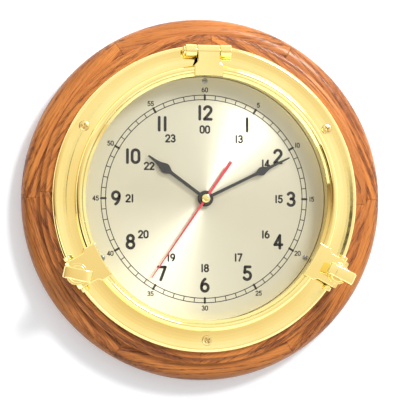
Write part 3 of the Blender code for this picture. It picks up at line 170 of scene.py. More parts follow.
# Hands, in millimetres and turned clockwise from twelve
HAND_DEGREES = {"hour_hand": 306.6, "minute_hand": 64.1, "second_hand": 214.5}
BULB_HANDS = {
    "hour_hand": dict(length=66.6, stem=3.1, at=46.9, bulb=4.9, neck=3.4, hub=7.4),
    "minute_hand": dict(length=88.6, stem=2.8, at=59.0, bulb=4.3, neck=3.0, hub=6.4),
}
SECOND_HALF = ((1.6, -41.8), (1.1, -4.0), (2.9, -2.0), (2.9, 2.0), (1.1, 4.0), (0.45, 89.4))
HAND_EDGE = 0.12 * MM

# Screws: radius of head and shank, and the cross recess's length, width and depth
FLANGE_SCREW = dict(head=4.65 * MM, shank=1.9 * MM, cross=(6.0 * MM, 1.3 * MM, 2.6 * MM))
DIAL_SCREW = dict(head=2.5 * MM, shank=1.1 * MM, cross=(2.6 * MM, 0.6 * MM, 0.5 * MM))
SCREW_PITCH = 1.3 * MM
SCREW_DOME = 0.6

# Print: circles in millimetres, with the numbers that stand on one of their own, and the
# weight of a stroke as a share of its number's height
HOUR_CIRCLE, HOUR_PLACES, HOUR_WEIGHT = 80.4, {3: 82.2, 9: 83.2, 10: 78.3}, 0.185
DAY_CIRCLE, DAY_WEIGHT = 64.8, 0.2
DAY_PLACES = {14: 66.6, 15: 70.4, 16: 66.6, 17: 63.4, 19: 63.4, 20: 66.6, 21: 70.4, 22: 60.4}
MINUTE_CIRCLE, MINUTE_WEIGHT = 102.0, 0.19
LINE_HALF, TICK_HALF, LONG_TICK_HALF = 0.4 * MM, 0.4 * MM, 1.0 * MM
INK_SUNK, INK_PROUD = 0.01 * MM, 0.03 * MM

# Cell: where its band starts, that edge's blur, where its bare ends start, and what brings a
# length in metres into a ramp's range of 0 to 1
BAND_START, BAND_BLUR, CELL_END, BAND_SCALE = 10.05 * MM, 0.1 * MM, 24.6 * MM, 20.0

# Stage, in metres and watts: the wall lies 0.7 mm behind the pads, and each lamp has a
# name, a place, a size and a power
WALL_Y, FLOOR_Z, STAGE_HALF = 0.0042, -1.25, 2.2
WALL_GLOW = 0.15
LAMPS = (
    ("key", (0.85, -1.35, 0.95), 0.55, 39.0),
    ("fill", (-0.9, -1.6, -0.9), 1.4, 7.0),
)
AIM = (-0.0028, -0.011, -0.0008)

# The room, by how far to the right and how far up a direction points: what metal mirrors of
# it, and the softer light that falls on everything else
ROOM_RIGHT, ROOM_UP, ROOM_LEVEL, ROOM_LIGHT = 0.25, 0.5, 0.5, 1.08
ROOM_MIRRORED = (
    (0.10, (0.05, 0.03, 0.015)), (0.29, (0.25, 0.16, 0.09)), (0.40, (0.70, 0.55, 0.42)),
    (0.50, (0.85, 0.71, 0.57)), (0.545, (0.92, 0.80, 0.68)), (0.58, 1.0),
    (0.66, (0.93, 0.85, 0.75)), (0.74, 1.0),
)
ROOM_SOFT = ((0.05, 0.24), (0.50, 0.56), (0.95, 0.84))
# The one dark thing in it, a camera on its stand: x and z of its direction, and half its size
STAND, STAND_HALF, STAND_SHADE = (0.109, 0.045), (0.018, 0.012), (0.01, 0.01, 0.01)

# Steps of a full turn, the angle from which an edge stays sharp, how far a cutter runs past
# its piece, and what keeps two faces out of one plane
ROUND, SHARP_DEGREES = 288, 35
OVERLAP, FACE_SHIFT = 1.0 * MM, 0.03 * MM


def srgb(code):
    """A linear colour from a hex code."""
    parts = [int(code[i : i + 2], 16) / 255 for i in (1, 3, 5)]
    return tuple(c / 12.92 if c <= 0.04045 else ((c + 0.055) / 1.055) ** 2.4 for c in parts)


def tint(name, description, code):
    """A colour that a user can change, given as a hex code."""
    return FloatVectorProperty(
        name=name, description=description, subtype="COLOR", size=3, min=0, max=1,
        default=srgb(code),
    )


def length(name, description, default):
    """A length in metres that a user can change."""
    return FloatProperty(
        name=name, description=description, unit="LENGTH", precision=5, min=0, default=default
    )


def share(name, description, default):
    """A value from nothing to all that a user can change."""
    return FloatProperty(
        name=name, description=description, subtype="FACTOR", min=0, max=1, default=default
    )


class OakSettings(bpy.types.PropertyGroup):
    """Colours and grain of the oak ring"""

    light: tint("Light oak", "Summer wood under honey lacquer", "#D08440")
    middle: tint("Oak", "The wood's middle colour", "#B4682C")
    deep: tint("Deep oak", "Spring wood, which takes more stain", "#8A4820")
    pore: tint("Pores", "Open pores filled with dark stain", "#3A1A0B")
    band: length("Band", "Distance between growth rings on the face", 5.5 * MM)
    pore_width: length("Pore width", "Width of the open pores as drawn", 0.45 * MM)
    pore_length: length("Pore length", "Length of the open pores", 9.0 * MM)


class BrassSettings(bpy.types.PropertyGroup):
    """Colours and polish of the brass"""

    bright: tint("Brass", "Buffed and lacquered brass", "#FDEEA2")
    warm: tint("Warm brass", "Where the lacquer lies thicker", "#F8E08C")
    screw: tint("Screw brass", "Plain brass of the screws", "#F3DC98")
    gear: tint("Gear brass", "Stamped brass of the wheels", "#CFAA5A")
    roughness: share("Roughness", "Blur of the polished brass", 0.05)
    wave: length("Buffing wave", "Distance between the buffing wheel's waves", 24.0 * MM)


class DialSettings(bpy.types.PropertyGroup):
    """Colours and print sizes of the dial"""

    ground: tint("Ground", "Champagne anodised aluminium", "#DCD6C0")
    ink: tint("Ink", "Pad-printed black ink", "#191613")
    hour: length("Hour numerals", "Height of 1 to 12", 14.6 * MM)
    day: length("24-hour numerals", "Height of 13 to 00", 7.9 * MM)
    minute: length("Minute numerals", "Height of 5 to 60", 4.8 * MM)
    track: length("Track radius", "Outer radius of the minute track", 97.0 * MM)
    track_width: length("Track width", "Width of the minute track", 4.2 * MM)


class HandSettings(bpy.types.PropertyGroup):
    """Colours of the hands"""

    black: tint("Black", "Satin black paint of two hands", "#262524")
    red: tint("Red", "Red paint of the second hand", "#D63A48")


class WorksSettings(bpy.types.PropertyGroup):
    """Colours of the movement, the hanger and the pads"""

    case: tint("Case", "Black moulded ABS", "#1D1D1E")
    knob: tint("Knob", "White acetal", "#DEDDD4")
    sleeve: tint("Battery sleeve", "Shrink sleeve", "#26282B")
    band: tint("Battery band", "Band at the cell's positive end", "#B98045")
    zinc: tint("Zinc plate", "Zinc-plated steel", "#B9BDC2")
    steel: tint("Steel", "Bare rolled steel", "#9C9EA0")
    copper: tint("Copper", "Enamelled winding wire", "#B5623A")
    board: tint("Board", "Solder mask on glass-fibre laminate", "#1E5A36")
    rubber: tint("Rubber", "Black rubber", "#1F1E1D")


class StageSettings(bpy.types.PropertyGroup):
    """Wall, lamps and camera"""

    wall: tint("Wall", "White wall behind the clock", "#F4F5F7")
    azimuth: FloatProperty(
        name="Azimuth", description="Camera's turn round the clock", subtype="ANGLE",
        default=math.radians(-8.3),
    )
    elevation: FloatProperty(
        name="Elevation", description="Camera's height over the clock", subtype="ANGLE",
        default=math.radians(-2.1),
    )
    distance: length("Distance", "Camera's distance from the clock", 1.3)
    span: length("Span", "Width of what the camera sees at the oak", 0.377)


def grid(rows, cols, wrap_rows=True):
    """Quads of a grid of points. Its columns run round, and so do its rows where they wrap."""
    r, c = np.meshgrid(np.arange(rows if wrap_rows else rows - 1), np.arange(cols), indexing="ij")
    below, beside = (r + 1) % rows, (c + 1) % cols
    corners = [r * cols + c, r * cols + beside, below * cols + beside, below * cols + c]
    return np.stack(corners, -1).reshape(-1, 4)


def shell(name, points, faces):
    """An object from points and faces: doubles merged, faces turned outwards."""
    mesh = bpy.data.meshes.new(name)
    mesh.from_pydata(np.asarray(points, float).reshape(-1, 3).tolist(), [], faces)
    bm = bmesh.new()
    bm.from_mesh(mesh)
    bmesh.ops.remove_doubles(bm, verts=bm.verts, dist=1e-6)
    bmesh.ops.recalc_face_normals(bm, faces=bm.faces)
    if bm.calc_volume(signed=True) < 0:
        bmesh.ops.reverse_faces(bm, faces=bm.faces)
    bm.to_mesh(mesh)
    bm.free()
    made = bpy.data.objects.new(name, mesh)
    bpy.context.scene.collection.objects.link(made)
    return made


def combined(thing, operation, *others):
    """Fuse pieces to one, or cut them out of it, and keep the result as the mesh. The
    EXACT solver loses the knuckle and the rings here, so this is done with MANIFOLD."""
    for other in others:
        step = thing.modifiers.new("step", "BOOLEAN")
        step.operation, step.solver, step.object = operation, "MANIFOLD", other
    bpy.context.view_layer.update()
    graph = bpy.context.evaluated_depsgraph_get()
    mesh = bpy.data.meshes.new_from_object(thing.evaluated_get(graph))
    thing.modifiers.clear()
    thing.data = mesh
    for other in others:
        bpy.data.objects.remove(other, do_unlink=True)
    return thing


def gathered(*parts):
    """Put the meshes of pieces that stand apart into one object."""
    bm = bmesh.new()
    for part in parts:
        bm.from_mesh(part.data)
    bm.to_mesh(parts[0].data)
    bm.free()
    for part in parts[1:]:
        bpy.data.objects.remove(part, do_unlink=True)
    return parts[0]


def eased(outline, radius, steps=4):
    """Round every corner of a closed outline: a parabola between the points that lie a
    radius before and after it, or less on a short side."""
    here = np.asarray(outline, float)
    radius = np.broadcast_to(radius, len(here))[:, None]

    def towards(other):
        way = other - here
        size = np.maximum(np.linalg.norm(way, axis=1, keepdims=True), 1e-9)
        return here + way / size * np.minimum(radius, 0.45 * size)

    t = np.linspace(0, 1, steps + 1)[None, :, None]
    first, last = towards(np.roll(here, 1, 0))[:, None], towards(np.roll(here, -1, 0))[:, None]
    return ((1 - t) ** 2 * first + 2 * t * (1 - t) * here[:, None] + t**2 * last).reshape(-1, 2)


def inward(outline):
    """Unit vectors that point into a closed outline, square to it at each point."""
    here = np.asarray(outline, float)
    way = np.roll(here, -1, 0) - np.roll(here, 1, 0)
    way /= np.maximum(np.linalg.norm(way, axis=1, keepdims=True), 1e-9)
    after = np.roll(here, -1, 0)
    turn = np.sign(np.sum(here[:, 0] * after[:, 1] - after[:, 0] * here[:, 1]))
    return turn * np.stack([-way[:, 1], way[:, 0]], -1)


def arc(centre, radius, start, end, steps):
    """Points on an arc from one angle to another, in degrees; radius may be a pair."""
    t = np.radians(np.linspace(start, end, steps + 1))
    wide, high = (radius, radius) if np.isscalar(radius) else radius
    return np.stack([centre[0] + wide * np.cos(t), centre[1] + high * np.sin(t)], -1)


def circle(radius, steps=64, at=(0.0, 0.0)):
    """A round outline."""
    return arc(at, radius, 0, 360 - 360 / steps, steps - 1)


def rectangle(low, high):
    """A square-cornered outline between two corners."""
    return np.array([low, (high[0], low[1]), high, (low[0], high[1])], float)


def turned(name, profile, steps=ROUND, open_ends=False):
    """A profile of (radius, depth) turned round Z: x = r cos t, y = r sin t, z = depth.

    With open ends the profile starts and ends on the axis, where its points merge."""
    profile = np.asarray(profile, float)
    t = np.linspace(0, 2 * np.pi, steps, endpoint=False)
    r, z = profile[:, :1], profile[:, 1:]
    points = np.stack([r * np.cos(t), r * np.sin(t), z + 0 * t], -1)
    return shell(name, points, grid(len(profile), steps, not open_ends).tolist())


def raised(name, outline, low, high, edges=(0.0, 0.0), turn=None):
    """A flat outline raised from low to high. Each rim is a quarter round: at the angle a
    the outline is drawn in by edge (1 - sin a) at the height edge (1 - cos a)."""
    outline = np.asarray(outline, float)
    t = np.radians(np.linspace(0, 90, 5))
    rims = [
        (edge * (1 - np.sin(t)), edge * (1 - np.cos(t))) if edge else (np.zeros(1),) * 2
        for edge in edges
    ]
    inset = np.concatenate([rims[0][0], rims[1][0][::-1]])
    height = np.concatenate([low + rims[0][1], (high - rims[1][1])[::-1]])
    flat = outline[None] + inward(outline)[None] * inset[:, None, None]
    depth = np.broadcast_to(height[:, None, None], (*flat.shape[:2], 1))
    rows, cols = flat.shape[:2]
    caps = [list(range(cols))[::-1], list(range((rows - 1) * cols, rows * cols))]
    made = shell(name, np.concatenate([flat, depth], -1), grid(rows, cols, False).tolist() + caps)
    if turn is not None:
        made.data.transform(turn)
    return made


ALONG_X = Matrix(((0, 0, 1, 0), (1, 0, 0, 0), (0, 1, 0, 0), (0, 0, 0, 1)))
ALONG_Y = Matrix(((1, 0, 0, 0), (0, 0, -1, 0), (0, 1, 0, 0), (0, 0, 0, 1)))


def about_z(degrees):
    """A turn about the hands' axis."""
    return Matrix.Rotation(math.radians(degrees), 4, "Z")


def polar(radius, degrees):
    """A point at a radius and an angle about the hands' axis."""
    return radius * math.cos(math.radians(degrees)), radius * math.sin(math.radians(degrees))


def at_polar(radius, degrees, depth=0.0):
    """A move to a radius and an angle about the hands' axis, at a depth."""
    return Matrix.Translation((*polar(radius, degrees), depth))


def moved(thing, matrix):
    """Move a piece's mesh."""
    thing.data.transform(matrix)
    return thing


def finished(thing, material, slot, *nodes):
    """Hang a piece on the wall, dress it and let it stand for its nodes. Large faces keep
    their own normal, so that a flat face beside a rounded edge mirrors as a flat one."""
    moved(thing, HANG)
    thing.name = thing.data.name = nodes[0] + "_finished"
    thing.data.materials.clear()
    thing.data.materials.append(material)
    thing.data.shade_smooth()
    thing.data.set_sharp_from_angle(angle=math.radians(SHARP_DEGREES))
    flat = thing.modifiers.new("flat faces", "WEIGHTED_NORMAL")
    flat.keep_sharp = True
    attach(thing, BODY_OF[nodes[0]])
    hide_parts(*nodes)
    return thing


def dressed(material, *nodes):
    """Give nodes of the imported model, whose shape is right, their material."""
    for node in nodes:
        mesh = frame["nodes"][node].data
        mesh.materials.clear()
        mesh.materials.append(material)


def softened(node, edge, material, slot):
    """Stand a finer copy of a node in its place: its flat faces joined up, and each sharp
    edge bevelled, as moulding, stamping and tumbling leave it."""
    mesh = frame["nodes"][node].data.copy()
    mesh.transform(HANG.inverted())
    bm = bmesh.new()
    bm.from_mesh(mesh)
    bmesh.ops.remove_doubles(bm, verts=bm.verts, dist=1e-6)
    bmesh.ops.dissolve_limit(bm, angle_limit=math.radians(1), verts=bm.verts, edges=bm.edges)
    keen = [e for e in bm.edges if e.is_manifold and e.calc_face_angle() > math.radians(40)]
    bmesh.ops.bevel(
        bm, geom=keen, offset=edge, offset_type="OFFSET", segments=2, profile=0.5, affect="EDGES",
        clamp_overlap=True,
    )
    bm.to_mesh(mesh)
    bm.free()
    made = bpy.data.objects.new(node, mesh)
    bpy.context.scene.collection.objects.link(made)
    return finished(made, material, slot, node)


def new_material(name, **values):
    """A material and its node tree, with plain values set on its Principled shader."""
    made = bpy.data.materials.new(name)
    made.use_nodes = True
    inputs = made.node_tree.nodes["Principled BSDF"].inputs
    for key, value in values.items():
        inputs[key.replace("_", " ")].default_value = value
    return made, made.node_tree


def wired(made, **sources):
    """Link sources to the inputs of a material's Principled shader."""
    tree = made.node_tree
    inputs = tree.nodes["Principled BSDF"].inputs
    for key, source in sources.items():
        tree.links.new(source, inputs[key.replace("_", " ")])
    return made


def add(tree, kind, links=None, values=None, **settings):
    """Add a node with its settings, its plain values and its links."""
    made = tree.nodes.new(kind)
    for key, value in settings.items():
        setattr(made, key, value)
    for key, value in (values or {}).items():
        made.inputs[key].default_value = value
    for key, source in (links or {}).items():
        tree.links.new(source, made.inputs[key])
    return made


def sum_of(tree, operation, first, second):
    """One step of arithmetic on sockets or plain numbers."""
    pair = dict(enumerate((first, second)))
    links = {i: v for i, v in pair.items() if not isinstance(v, float)}
    values = {i: v for i, v in pair.items() if isinstance(v, float)}
    return add(tree, "ShaderNodeMath", links, values, operation=operation).outputs[0]


def noise(tree, where, scale, detail=3.0, roughness=0.55, shift=(0.0, 0.0, 0.0)):
    """Noise, its scale being cells for each metre: one number, or one for each axis."""
    scale = (scale,) * 3 if isinstance(scale, float) else scale
    place = add(tree, "ShaderNodeMapping", {"Vector": where}, {"Scale": scale, "Location": shift})
    return add(
        tree, "ShaderNodeTexNoise", {"Vector": place.outputs["Vector"]},
        {"Scale": 1.0, "Detail": detail, "Roughness": roughness},
    ).outputs["Fac"]


def ramp(tree, source, *stops):
    """Colours or greys along a value: (place, colour or grey) pairs."""
    made = add(tree, "ShaderNodeValToRGB", {"Fac": source})
    band = made.color_ramp
    while len(band.elements) < len(stops):
        band.elements.new(0.5)
    for element, (place, colour) in zip(band.elements, stops):
        element.position = place
        element.color = (*([colour] * 3 if isinstance(colour, float) else colour[:]), 1)
    return made.outputs["Color"]


def blend(tree, factor, first, second):
    """Mix two colours by a factor."""
    made = add(tree, "ShaderNodeMix", {"Factor": factor}, data_type="RGBA")
    for socket, colour in (("A_Color", first), ("B_Color", second)):
        target = next(s for s in made.inputs if s.identifier == socket)
        if isinstance(colour, bpy.types.NodeSocket):
            tree.links.new(colour, target)
        else:
            target.default_value = (*colour[:], 1)
    return next(s for s in made.outputs if s.identifier == "Result_Color")


def bump(tree, height, depth, strength=1.0, normal=None):
    """A normal from a height of 0 to 1 that spans a depth in metres."""
    links = {"Height": height}
    if normal is not None:
        links["Normal"] = normal
    return add(
        tree, "ShaderNodeBump", links, {"Strength": strength, "Distance": depth}
    ).outputs["Normal"]


def object_place(tree):
    """Object coordinates."""
    return add(tree, "ShaderNodeTexCoord").outputs["Object"]


def oak_material(look):
    """Red oak, plain sawn and glued up, under a satin honey lacquer.

    Ring-porous: pale dense bands and darker porous bands lie along the grain, and the
    pores show as dark dashes, crowded in the porous bands and few between them. Real pores
    are about 0.3 mm wide; they are drawn half as wide again so that they show. The stain
    lies deeper in large soft patches. The plank attribute holds each stave's own axes:
    grain along its X.
    """
    made, tree = new_material(
        "Red oak, satin lacquer", Specular_IOR_Level=0.25, Coat_Weight=0.12, Coat_Roughness=0.18
    )
    plank = add(tree, "ShaderNodeAttribute", attribute_name="plank").outputs["Vector"]
    bands = noise(tree, plank, (5.0, 1 / look.band, 0.6 / look.band), 3.0, 0.6)
    cut = (1 / look.pore_length, 1 / look.pore_width, 0.5 / look.pore_width)
    fibre = noise(tree, plank, (14.0, cut[1] * 0.6, cut[2] * 0.6), 3.0, 0.6, (3.0, 1.0, 2.0))
    dash = noise(tree, plank, cut, 1.5, 0.5, (7.0, 5.0, 1.0))
    cloud = noise(tree, plank, (7.0, 22.0, 20.0), 2.0)
    broad, fine = sum_of(tree, "MULTIPLY", bands, 0.62), sum_of(tree, "MULTIPLY", fibre, 0.38)
    wood = ramp(
        tree, sum_of(tree, "ADD", broad, fine), (0.38, look.deep), (0.46, look.middle),
        (0.53, look.light), (0.60, look.middle), (0.70, look.light),
    )
    porous = ramp(tree, bands, (0.43, 1.0), (0.55, 0.0))
    crowded = sum_of(tree, "MULTIPLY", ramp(tree, dash, (0.49, 0.0), (0.56, 0.72)), porous)
    pores = sum_of(tree, "MAXIMUM", crowded, ramp(tree, dash, (0.62, 0.0), (0.68, 0.35)))
    stained = blend(tree, ramp(tree, cloud, (0.35, 0.45), (0.62, 0.0)), wood, look.deep)
    grain = bump(tree, fibre, 0.06 * MM, 0.5)
    return wired(
        made,
        Base_Color=blend(tree, pores, stained, look.pore),
        Normal=bump(tree, sum_of(tree, "SUBTRACT", 1.0, pores), 0.18 * MM, 0.7, grain),
        Roughness=ramp(tree, pores, (0.0, 0.36), (1.0, 0.6)),
    )


def brass_material(look):
    """Cast brass, machined, buffed on a wheel and lacquered.

    The wheel leaves long shallow waves, which bend the reflections, and hair-fine lines
    along its travel; the lacquer gives faint warmer patches. Real lines are about 0.05 mm
    apart; they are drawn at 0.4 mm so that they show.
    """
    made, tree = new_material("Polished brass", Metallic=1.0)
    place = object_place(tree)
    patch, haze = noise(tree, place, 14.0, 2.0), noise(tree, place, 160.0, 3.0)
    wave = noise(tree, place, 1 / look.wave, 1.0, 0.4)
    lines = noise(tree, place, (2600.0, 2600.0, 160.0), 2.0)
    lacquer = ramp(tree, patch, (0.42, 0.0), (0.68, 0.55))
    smooth = look.roughness
    return wired(
        made,
        Base_Color=blend(tree, lacquer, look.bright, look.warm),
        Roughness=ramp(tree, haze, (0.35, smooth * 0.85), (0.7, smooth * 1.3)),
        Normal=bump(tree, lines, 0.004 * MM, 0.15, bump(tree, wave, 0.06 * MM, 0.6)),
    )


def plain_metal(name, colour, roughness, grain, depth):
    """Stamped, drawn or plated metal: a fine all-over grain and uneven gloss. Real grain is
    finer than 0.1 mm; it is drawn at 1 to 4 mm so that it shows."""
    made, tree = new_material(name, Metallic=1.0)
    place = object_place(tree)
    tone, speck = noise(tree, place, grain * 0.25, 3.0), noise(tree, place, grain, 2.0)
    return wired(
        made,
        Base_Color=blend(tree, tone, [c * 0.72 for c in colour], colour),
        Roughness=ramp(tree, speck, (0.3, roughness * 0.8), (0.7, roughness * 1.25)),
        Normal=bump(tree, speck, depth, 0.4),
    )


def dial_material(look):
    """Anodised aluminium, turned under a brush so that hair-fine rings run round it.

    The rings throw a bright bow tie towards the lamp. Real rings are about 0.05 mm apart;
    they are drawn at 0.4 mm so that they show.
    """
    made, tree = new_material(
        "Brushed champagne aluminium", Metallic=0.55, Anisotropic=0.85, Anisotropic_Rotation=0.25
    )
    place = object_place(tree)
    centred = add(
        tree, "ShaderNodeMapping", {"Vector": place}, {"Location": (0.0, 0.0, -AXIS_HEIGHT)}
    ).outputs["Vector"]
    split = add(tree, "ShaderNodeSeparateXYZ", {"Vector": centred}).outputs
    square = [sum_of(tree, "MULTIPLY", split[i], split[i]) for i in (0, 2)]
    radius = sum_of(tree, "SQRT", sum_of(tree, "ADD", *square), 0.0)
    along = add(tree, "ShaderNodeCombineXYZ", {"X": radius}).outputs[0]
    rings, soft = noise(tree, along, (2500.0, 1.0, 1.0), 3.0, 0.7), noise(tree, place, 30.0, 2.0)
    fine, broad = sum_of(tree, "MULTIPLY", rings, 0.6), sum_of(tree, "MULTIPLY", soft, 0.4)
    dark, pale = [c * 0.9 for c in look.ground], [min(1.0, c * 1.06) for c in look.ground]
    return wired(
        made,
        Base_Color=blend(tree, sum_of(tree, "ADD", fine, broad), dark, pale),
        Roughness=ramp(tree, rings, (0.3, 0.34), (0.7, 0.42)),
        Normal=bump(tree, rings, 0.006 * MM, 0.5),
        Tangent=add(tree, "ShaderNodeTangent", direction_type="RADIAL", axis="Y").outputs[0],
    )


def paint_material(name, colour, roughness, coat=0.0):
    """Sprayed paint or printed ink: an even coat with a faint orange peel."""
    made, tree = new_material(name, Coat_Weight=coat, Coat_Roughness=0.08)
    place = object_place(tree)
    tone, peel = noise(tree, place, 90.0, 2.0), noise(tree, place, 1400.0, 1.0)
    dark, pale = [c * 0.85 for c in colour], [min(1.0, c * 1.12) for c in colour]
    return wired(
        made,
        Base_Color=blend(tree, tone, dark, pale),
        Roughness=ramp(tree, peel, (0.3, roughness * 0.9), (0.7, roughness * 1.1)),
        Normal=bump(tree, peel, 0.008 * MM, 0.3),
    )


def moulded_material(name, colour, roughness, spark, depth):
    """Moulded plastic or rubber: spark-eroded texture, slightly paler where rubbed. Real
    texture is about 0.1 mm; it is drawn at about 0.5 mm so that it shows."""
    made, tree = new_material(name)
    place = object_place(tree)
    rub, grit = noise(tree, place, 45.0, 3.0), noise(tree, place, 1 / spark, 2.0)
    return wired(
        made,
        Base_Color=blend(tree, rub, colour, [c + 0.03 * (1 - c) for c in colour]),
        Roughness=ramp(tree, grit, (0.3, roughness * 0.85), (0.7, roughness * 1.15)),
        Normal=bump(tree, grit, depth, 0.6),
    )


def glass_material():
    """Float glass 3 mm thick: clear, with a mirror's gloss that grows towards the edge.

    A flat pane bends nothing, so what lies behind it is let through straight. For the same
    reason only the face that light enters by mirrors: an unbent ray would be wholly
    mirrored inside the pane at a slant, and the glass would turn black.
    """
    made = bpy.data.materials.new("Float glass")
    made.use_nodes = True
    tree = made.node_tree
    tree.nodes.remove(tree.nodes["Principled BSDF"])
    clear = add(tree, "ShaderNodeBsdfTransparent", values={"Color": (0.985, 0.992, 0.988, 1)})
    wave = bump(tree, noise(tree, object_place(tree), 9.0, 1.0), 0.04 * MM, 0.4)
    gloss = add(tree, "ShaderNodeBsdfAnisotropic", {"Normal": wave}, {"Roughness": 0.03})
    edge = add(tree, "ShaderNodeFresnel", values={"IOR": 1.45}).outputs[0]
    leaving = add(tree, "ShaderNodeNewGeometry").outputs["Backfacing"]
    mirrored = sum_of(tree, "MULTIPLY", edge, sum_of(tree, "SUBTRACT", 1.0, leaving))
    mix = add(
        tree, "ShaderNodeMixShader", {0: mirrored, 1: clear.outputs[0], 2: gloss.outputs[0]}
    )
    tree.links.new(mix.outputs[0], tree.nodes["Material Output"].inputs["Surface"])
    return made


def battery_material(look):
    """A cell's printed shrink sleeve: a dark body, a copper-coloured band at the plus end,
    and bare steel at both ends."""
    made, tree = new_material("Printed shrink sleeve", Coat_Weight=0.5, Coat_Roughness=0.1)
    place = object_place(tree)
    along = add(tree, "ShaderNodeSeparateXYZ", {"Vector": place}).outputs["X"]
    first, last = ((BAND_START + side * BAND_BLUR) * BAND_SCALE for side in (-1, 1))
    band = ramp(tree, sum_of(tree, "MULTIPLY", along, BAND_SCALE), (first, 0.0), (last, 1.0))
    size = add(tree, "ShaderNodeMath", {0: along}, operation="ABSOLUTE").outputs[0]
    ends = sum_of(tree, "GREATER_THAN", size, CELL_END)
    grain = noise(tree, place, 300.0, 2.0)
    sleeve = blend(tree, band, look.sleeve, look.band)
    sleeve = blend(tree, sum_of(tree, "MULTIPLY", grain, 0.12), sleeve, (0.5, 0.5, 0.5))
    return wired(
        made,
        Base_Color=blend(tree, ends, sleeve, look.steel),
        Metallic=ends,
        Roughness=ramp(tree, grain, (0.3, 0.28), (0.7, 0.36)),
    )


def stave(profile, start, end, seed):
    """A stave: the closed profile carried round an arc. The rings near each end are drawn
    in by a quarter round, which eases the sawn end. The plank attribute holds the
    distance along the grain, across it and in depth, shifted for each stave; across is a
    mix of the straight distance and the radius, as the figure sweeps with the ring."""
    middle = (profile[:, 0].min() + profile[:, 0].max()) / 2
    trim = GLUE_LINE / 2 / middle
    first, last = math.radians(start) + trim, math.radians(end) - trim
    near = np.array([0.0, 0.13, 0.5, 1.0]) * STAVE_EASE / middle
    steps = int((end - start) / 1.25)
    between = np.linspace(first, last, steps)[1:-1]
    t = np.concatenate([first + near, between, last - near[::-1]])
    reach = np.minimum(np.minimum(t - first, last - t) * middle / STAVE_EASE, 1.0)
    inset = STAVE_EASE * (1 - np.sqrt(1 - (1 - reach) ** 2))
    flat = profile[None] + inward(profile)[None] * inset[:, None, None]
    r, z = flat[..., 0], flat[..., 1]
    points = np.stack([r * np.cos(t)[:, None], r * np.sin(t)[:, None], z], -1)
    rows, cols = r.shape
    caps = [list(range(cols))[::-1], list(range((rows - 1) * cols, rows * cols))]
    made = shell("stave", points, grid(rows, cols, False).tolist() + caps)
    here = np.empty(3 * len(made.data.vertices))
    made.data.vertices.foreach_get("co", here)
    x, y, z = here.reshape(-1, 3).T
    turn = (first + last) / 2 + math.radians(PLANK_TURNS[seed % len(PLANK_TURNS)])
    along, across = -x * np.sin(turn) + y * np.cos(turn), x * np.cos(turn) + y * np.sin(turn)
    across += GRAIN_SWEEP * (np.hypot(x, y) - across)
    plank = np.stack([along, across, z], -1) + PLANK_SHIFT * seed
    kept = made.data.attributes.new("plank", "FLOAT_VECTOR", "POINT")
    kept.data.foreach_set("vector", plank.ravel())
    return made


def back_course():
    """The back course's section: a chamfer at the wall, and a wide quarter round outside."""
    shoulder = arc((OAK_RADIUS - EDGE_ROUND, OAK_STEP - EDGE_ROUND), EDGE_ROUND, 0, 90, 14)
    return np.concatenate([
        [(OAK_BORE, OAK_BACK), (OAK_RADIUS - BACK_CHAMFER, OAK_BACK),
         (OAK_RADIUS, OAK_BACK + BACK_CHAMFER)],
        shoulder, [(OAK_BORE, OAK_STEP)],
    ])


def front_course():
    """The front course's section: its cove goes in by a sine while it rises by a cosine."""
    s = np.linspace(0, np.pi / 2, 9)
    cove = np.stack(
        [COURSE_RADIUS - COVE_WIDTH * np.sin(s), OAK_FRONT - COVE_DROP * np.cos(s)], -1
    )
    return np.concatenate([
        [(OAK_BORE, COURSE_BACK), (COURSE_RADIUS, COURSE_BACK)], cove, [(OAK_BORE, OAK_FRONT)],
    ])


class CLOCK_OT_oak(bpy.types.Operator):
    """Turn the oak ring: a back course of six staves and a coved front course of four"""

    bl_idname = "clock.oak"
    bl_label = "Oak ring"

    def execute(self, context):
        oak = oak_material(context.scene.clock_oak)
        courses = (("back", back_course(), BACK_STAVES), ("front", front_course(), FRONT_STAVES))
        seed = 0
        for course, profile, starts in courses:
            profile = eased(profile, 0.5 * MM, 3)
            for i, start in enumerate(starts):
                seed += 1
                made = stave(profile, start, start + 360.0 / len(starts), seed)
                finished(made, oak, "oak", f"oak_{course}_stave_{i + 1}")
        return {"FINISHED"}


def lug(distance, depth, radius, low, high, turn):
    """A lug seen from the side: round over its pin, with a straight outer flank down to the
    flange's back, and a cove where its inner flank meets the flange's face."""
    foot, face = FLANGE_BACK + OVERLAP, FLANGE_FRONT - 0.1 * MM
    outline = np.concatenate([
        [(distance + radius, foot)],
        arc((distance, depth), radius, 0, 180, 28),
        arc((distance - radius - LUG_COVE, face + LUG_COVE), LUG_COVE, 360, 270, 6),
        [(distance - radius - LUG_COVE, foot)],
    ])
    return raised("lug", outline, low, high, (0.6 * MM, 0.6 * MM), turn)


def case_body():
    """The case's turned body: tube, dial ledge, and a flange with a rolled rim, whose face is
    dished by half a sine."""
    back = LEDGE_FRONT - LEDGE_THICKNESS
    roll = arc((FLANGE_RADIUS - FLANGE_ROLL, FLANGE_FRONT - FLANGE_ROLL), FLANGE_ROLL, -12, 90, 10)
    face = np.linspace(1.0, 0.0, 9)[1:-1]
    radius = TUBE_BORE + (FLANGE_RADIUS - FLANGE_ROLL - TUBE_BORE) * face
    dish = np.stack([radius, FLANGE_FRONT - FLANGE_DISH * np.sin(np.pi * face)], -1)
    outline = np.concatenate([
        [(TUBE_BORE, FLANGE_FRONT), (TUBE_BORE, LEDGE_FRONT), (LEDGE_BORE, LEDGE_FRONT),
         (LEDGE_BORE, back), (TUBE_RADIUS, back), (TUBE_RADIUS, FLANGE_BACK),
         (FLANGE_RADIUS - 0.5 * MM, FLANGE_BACK)],
        roll, dish,
    ])
    return turned("case", eased(outline, 0.4 * MM, 2))


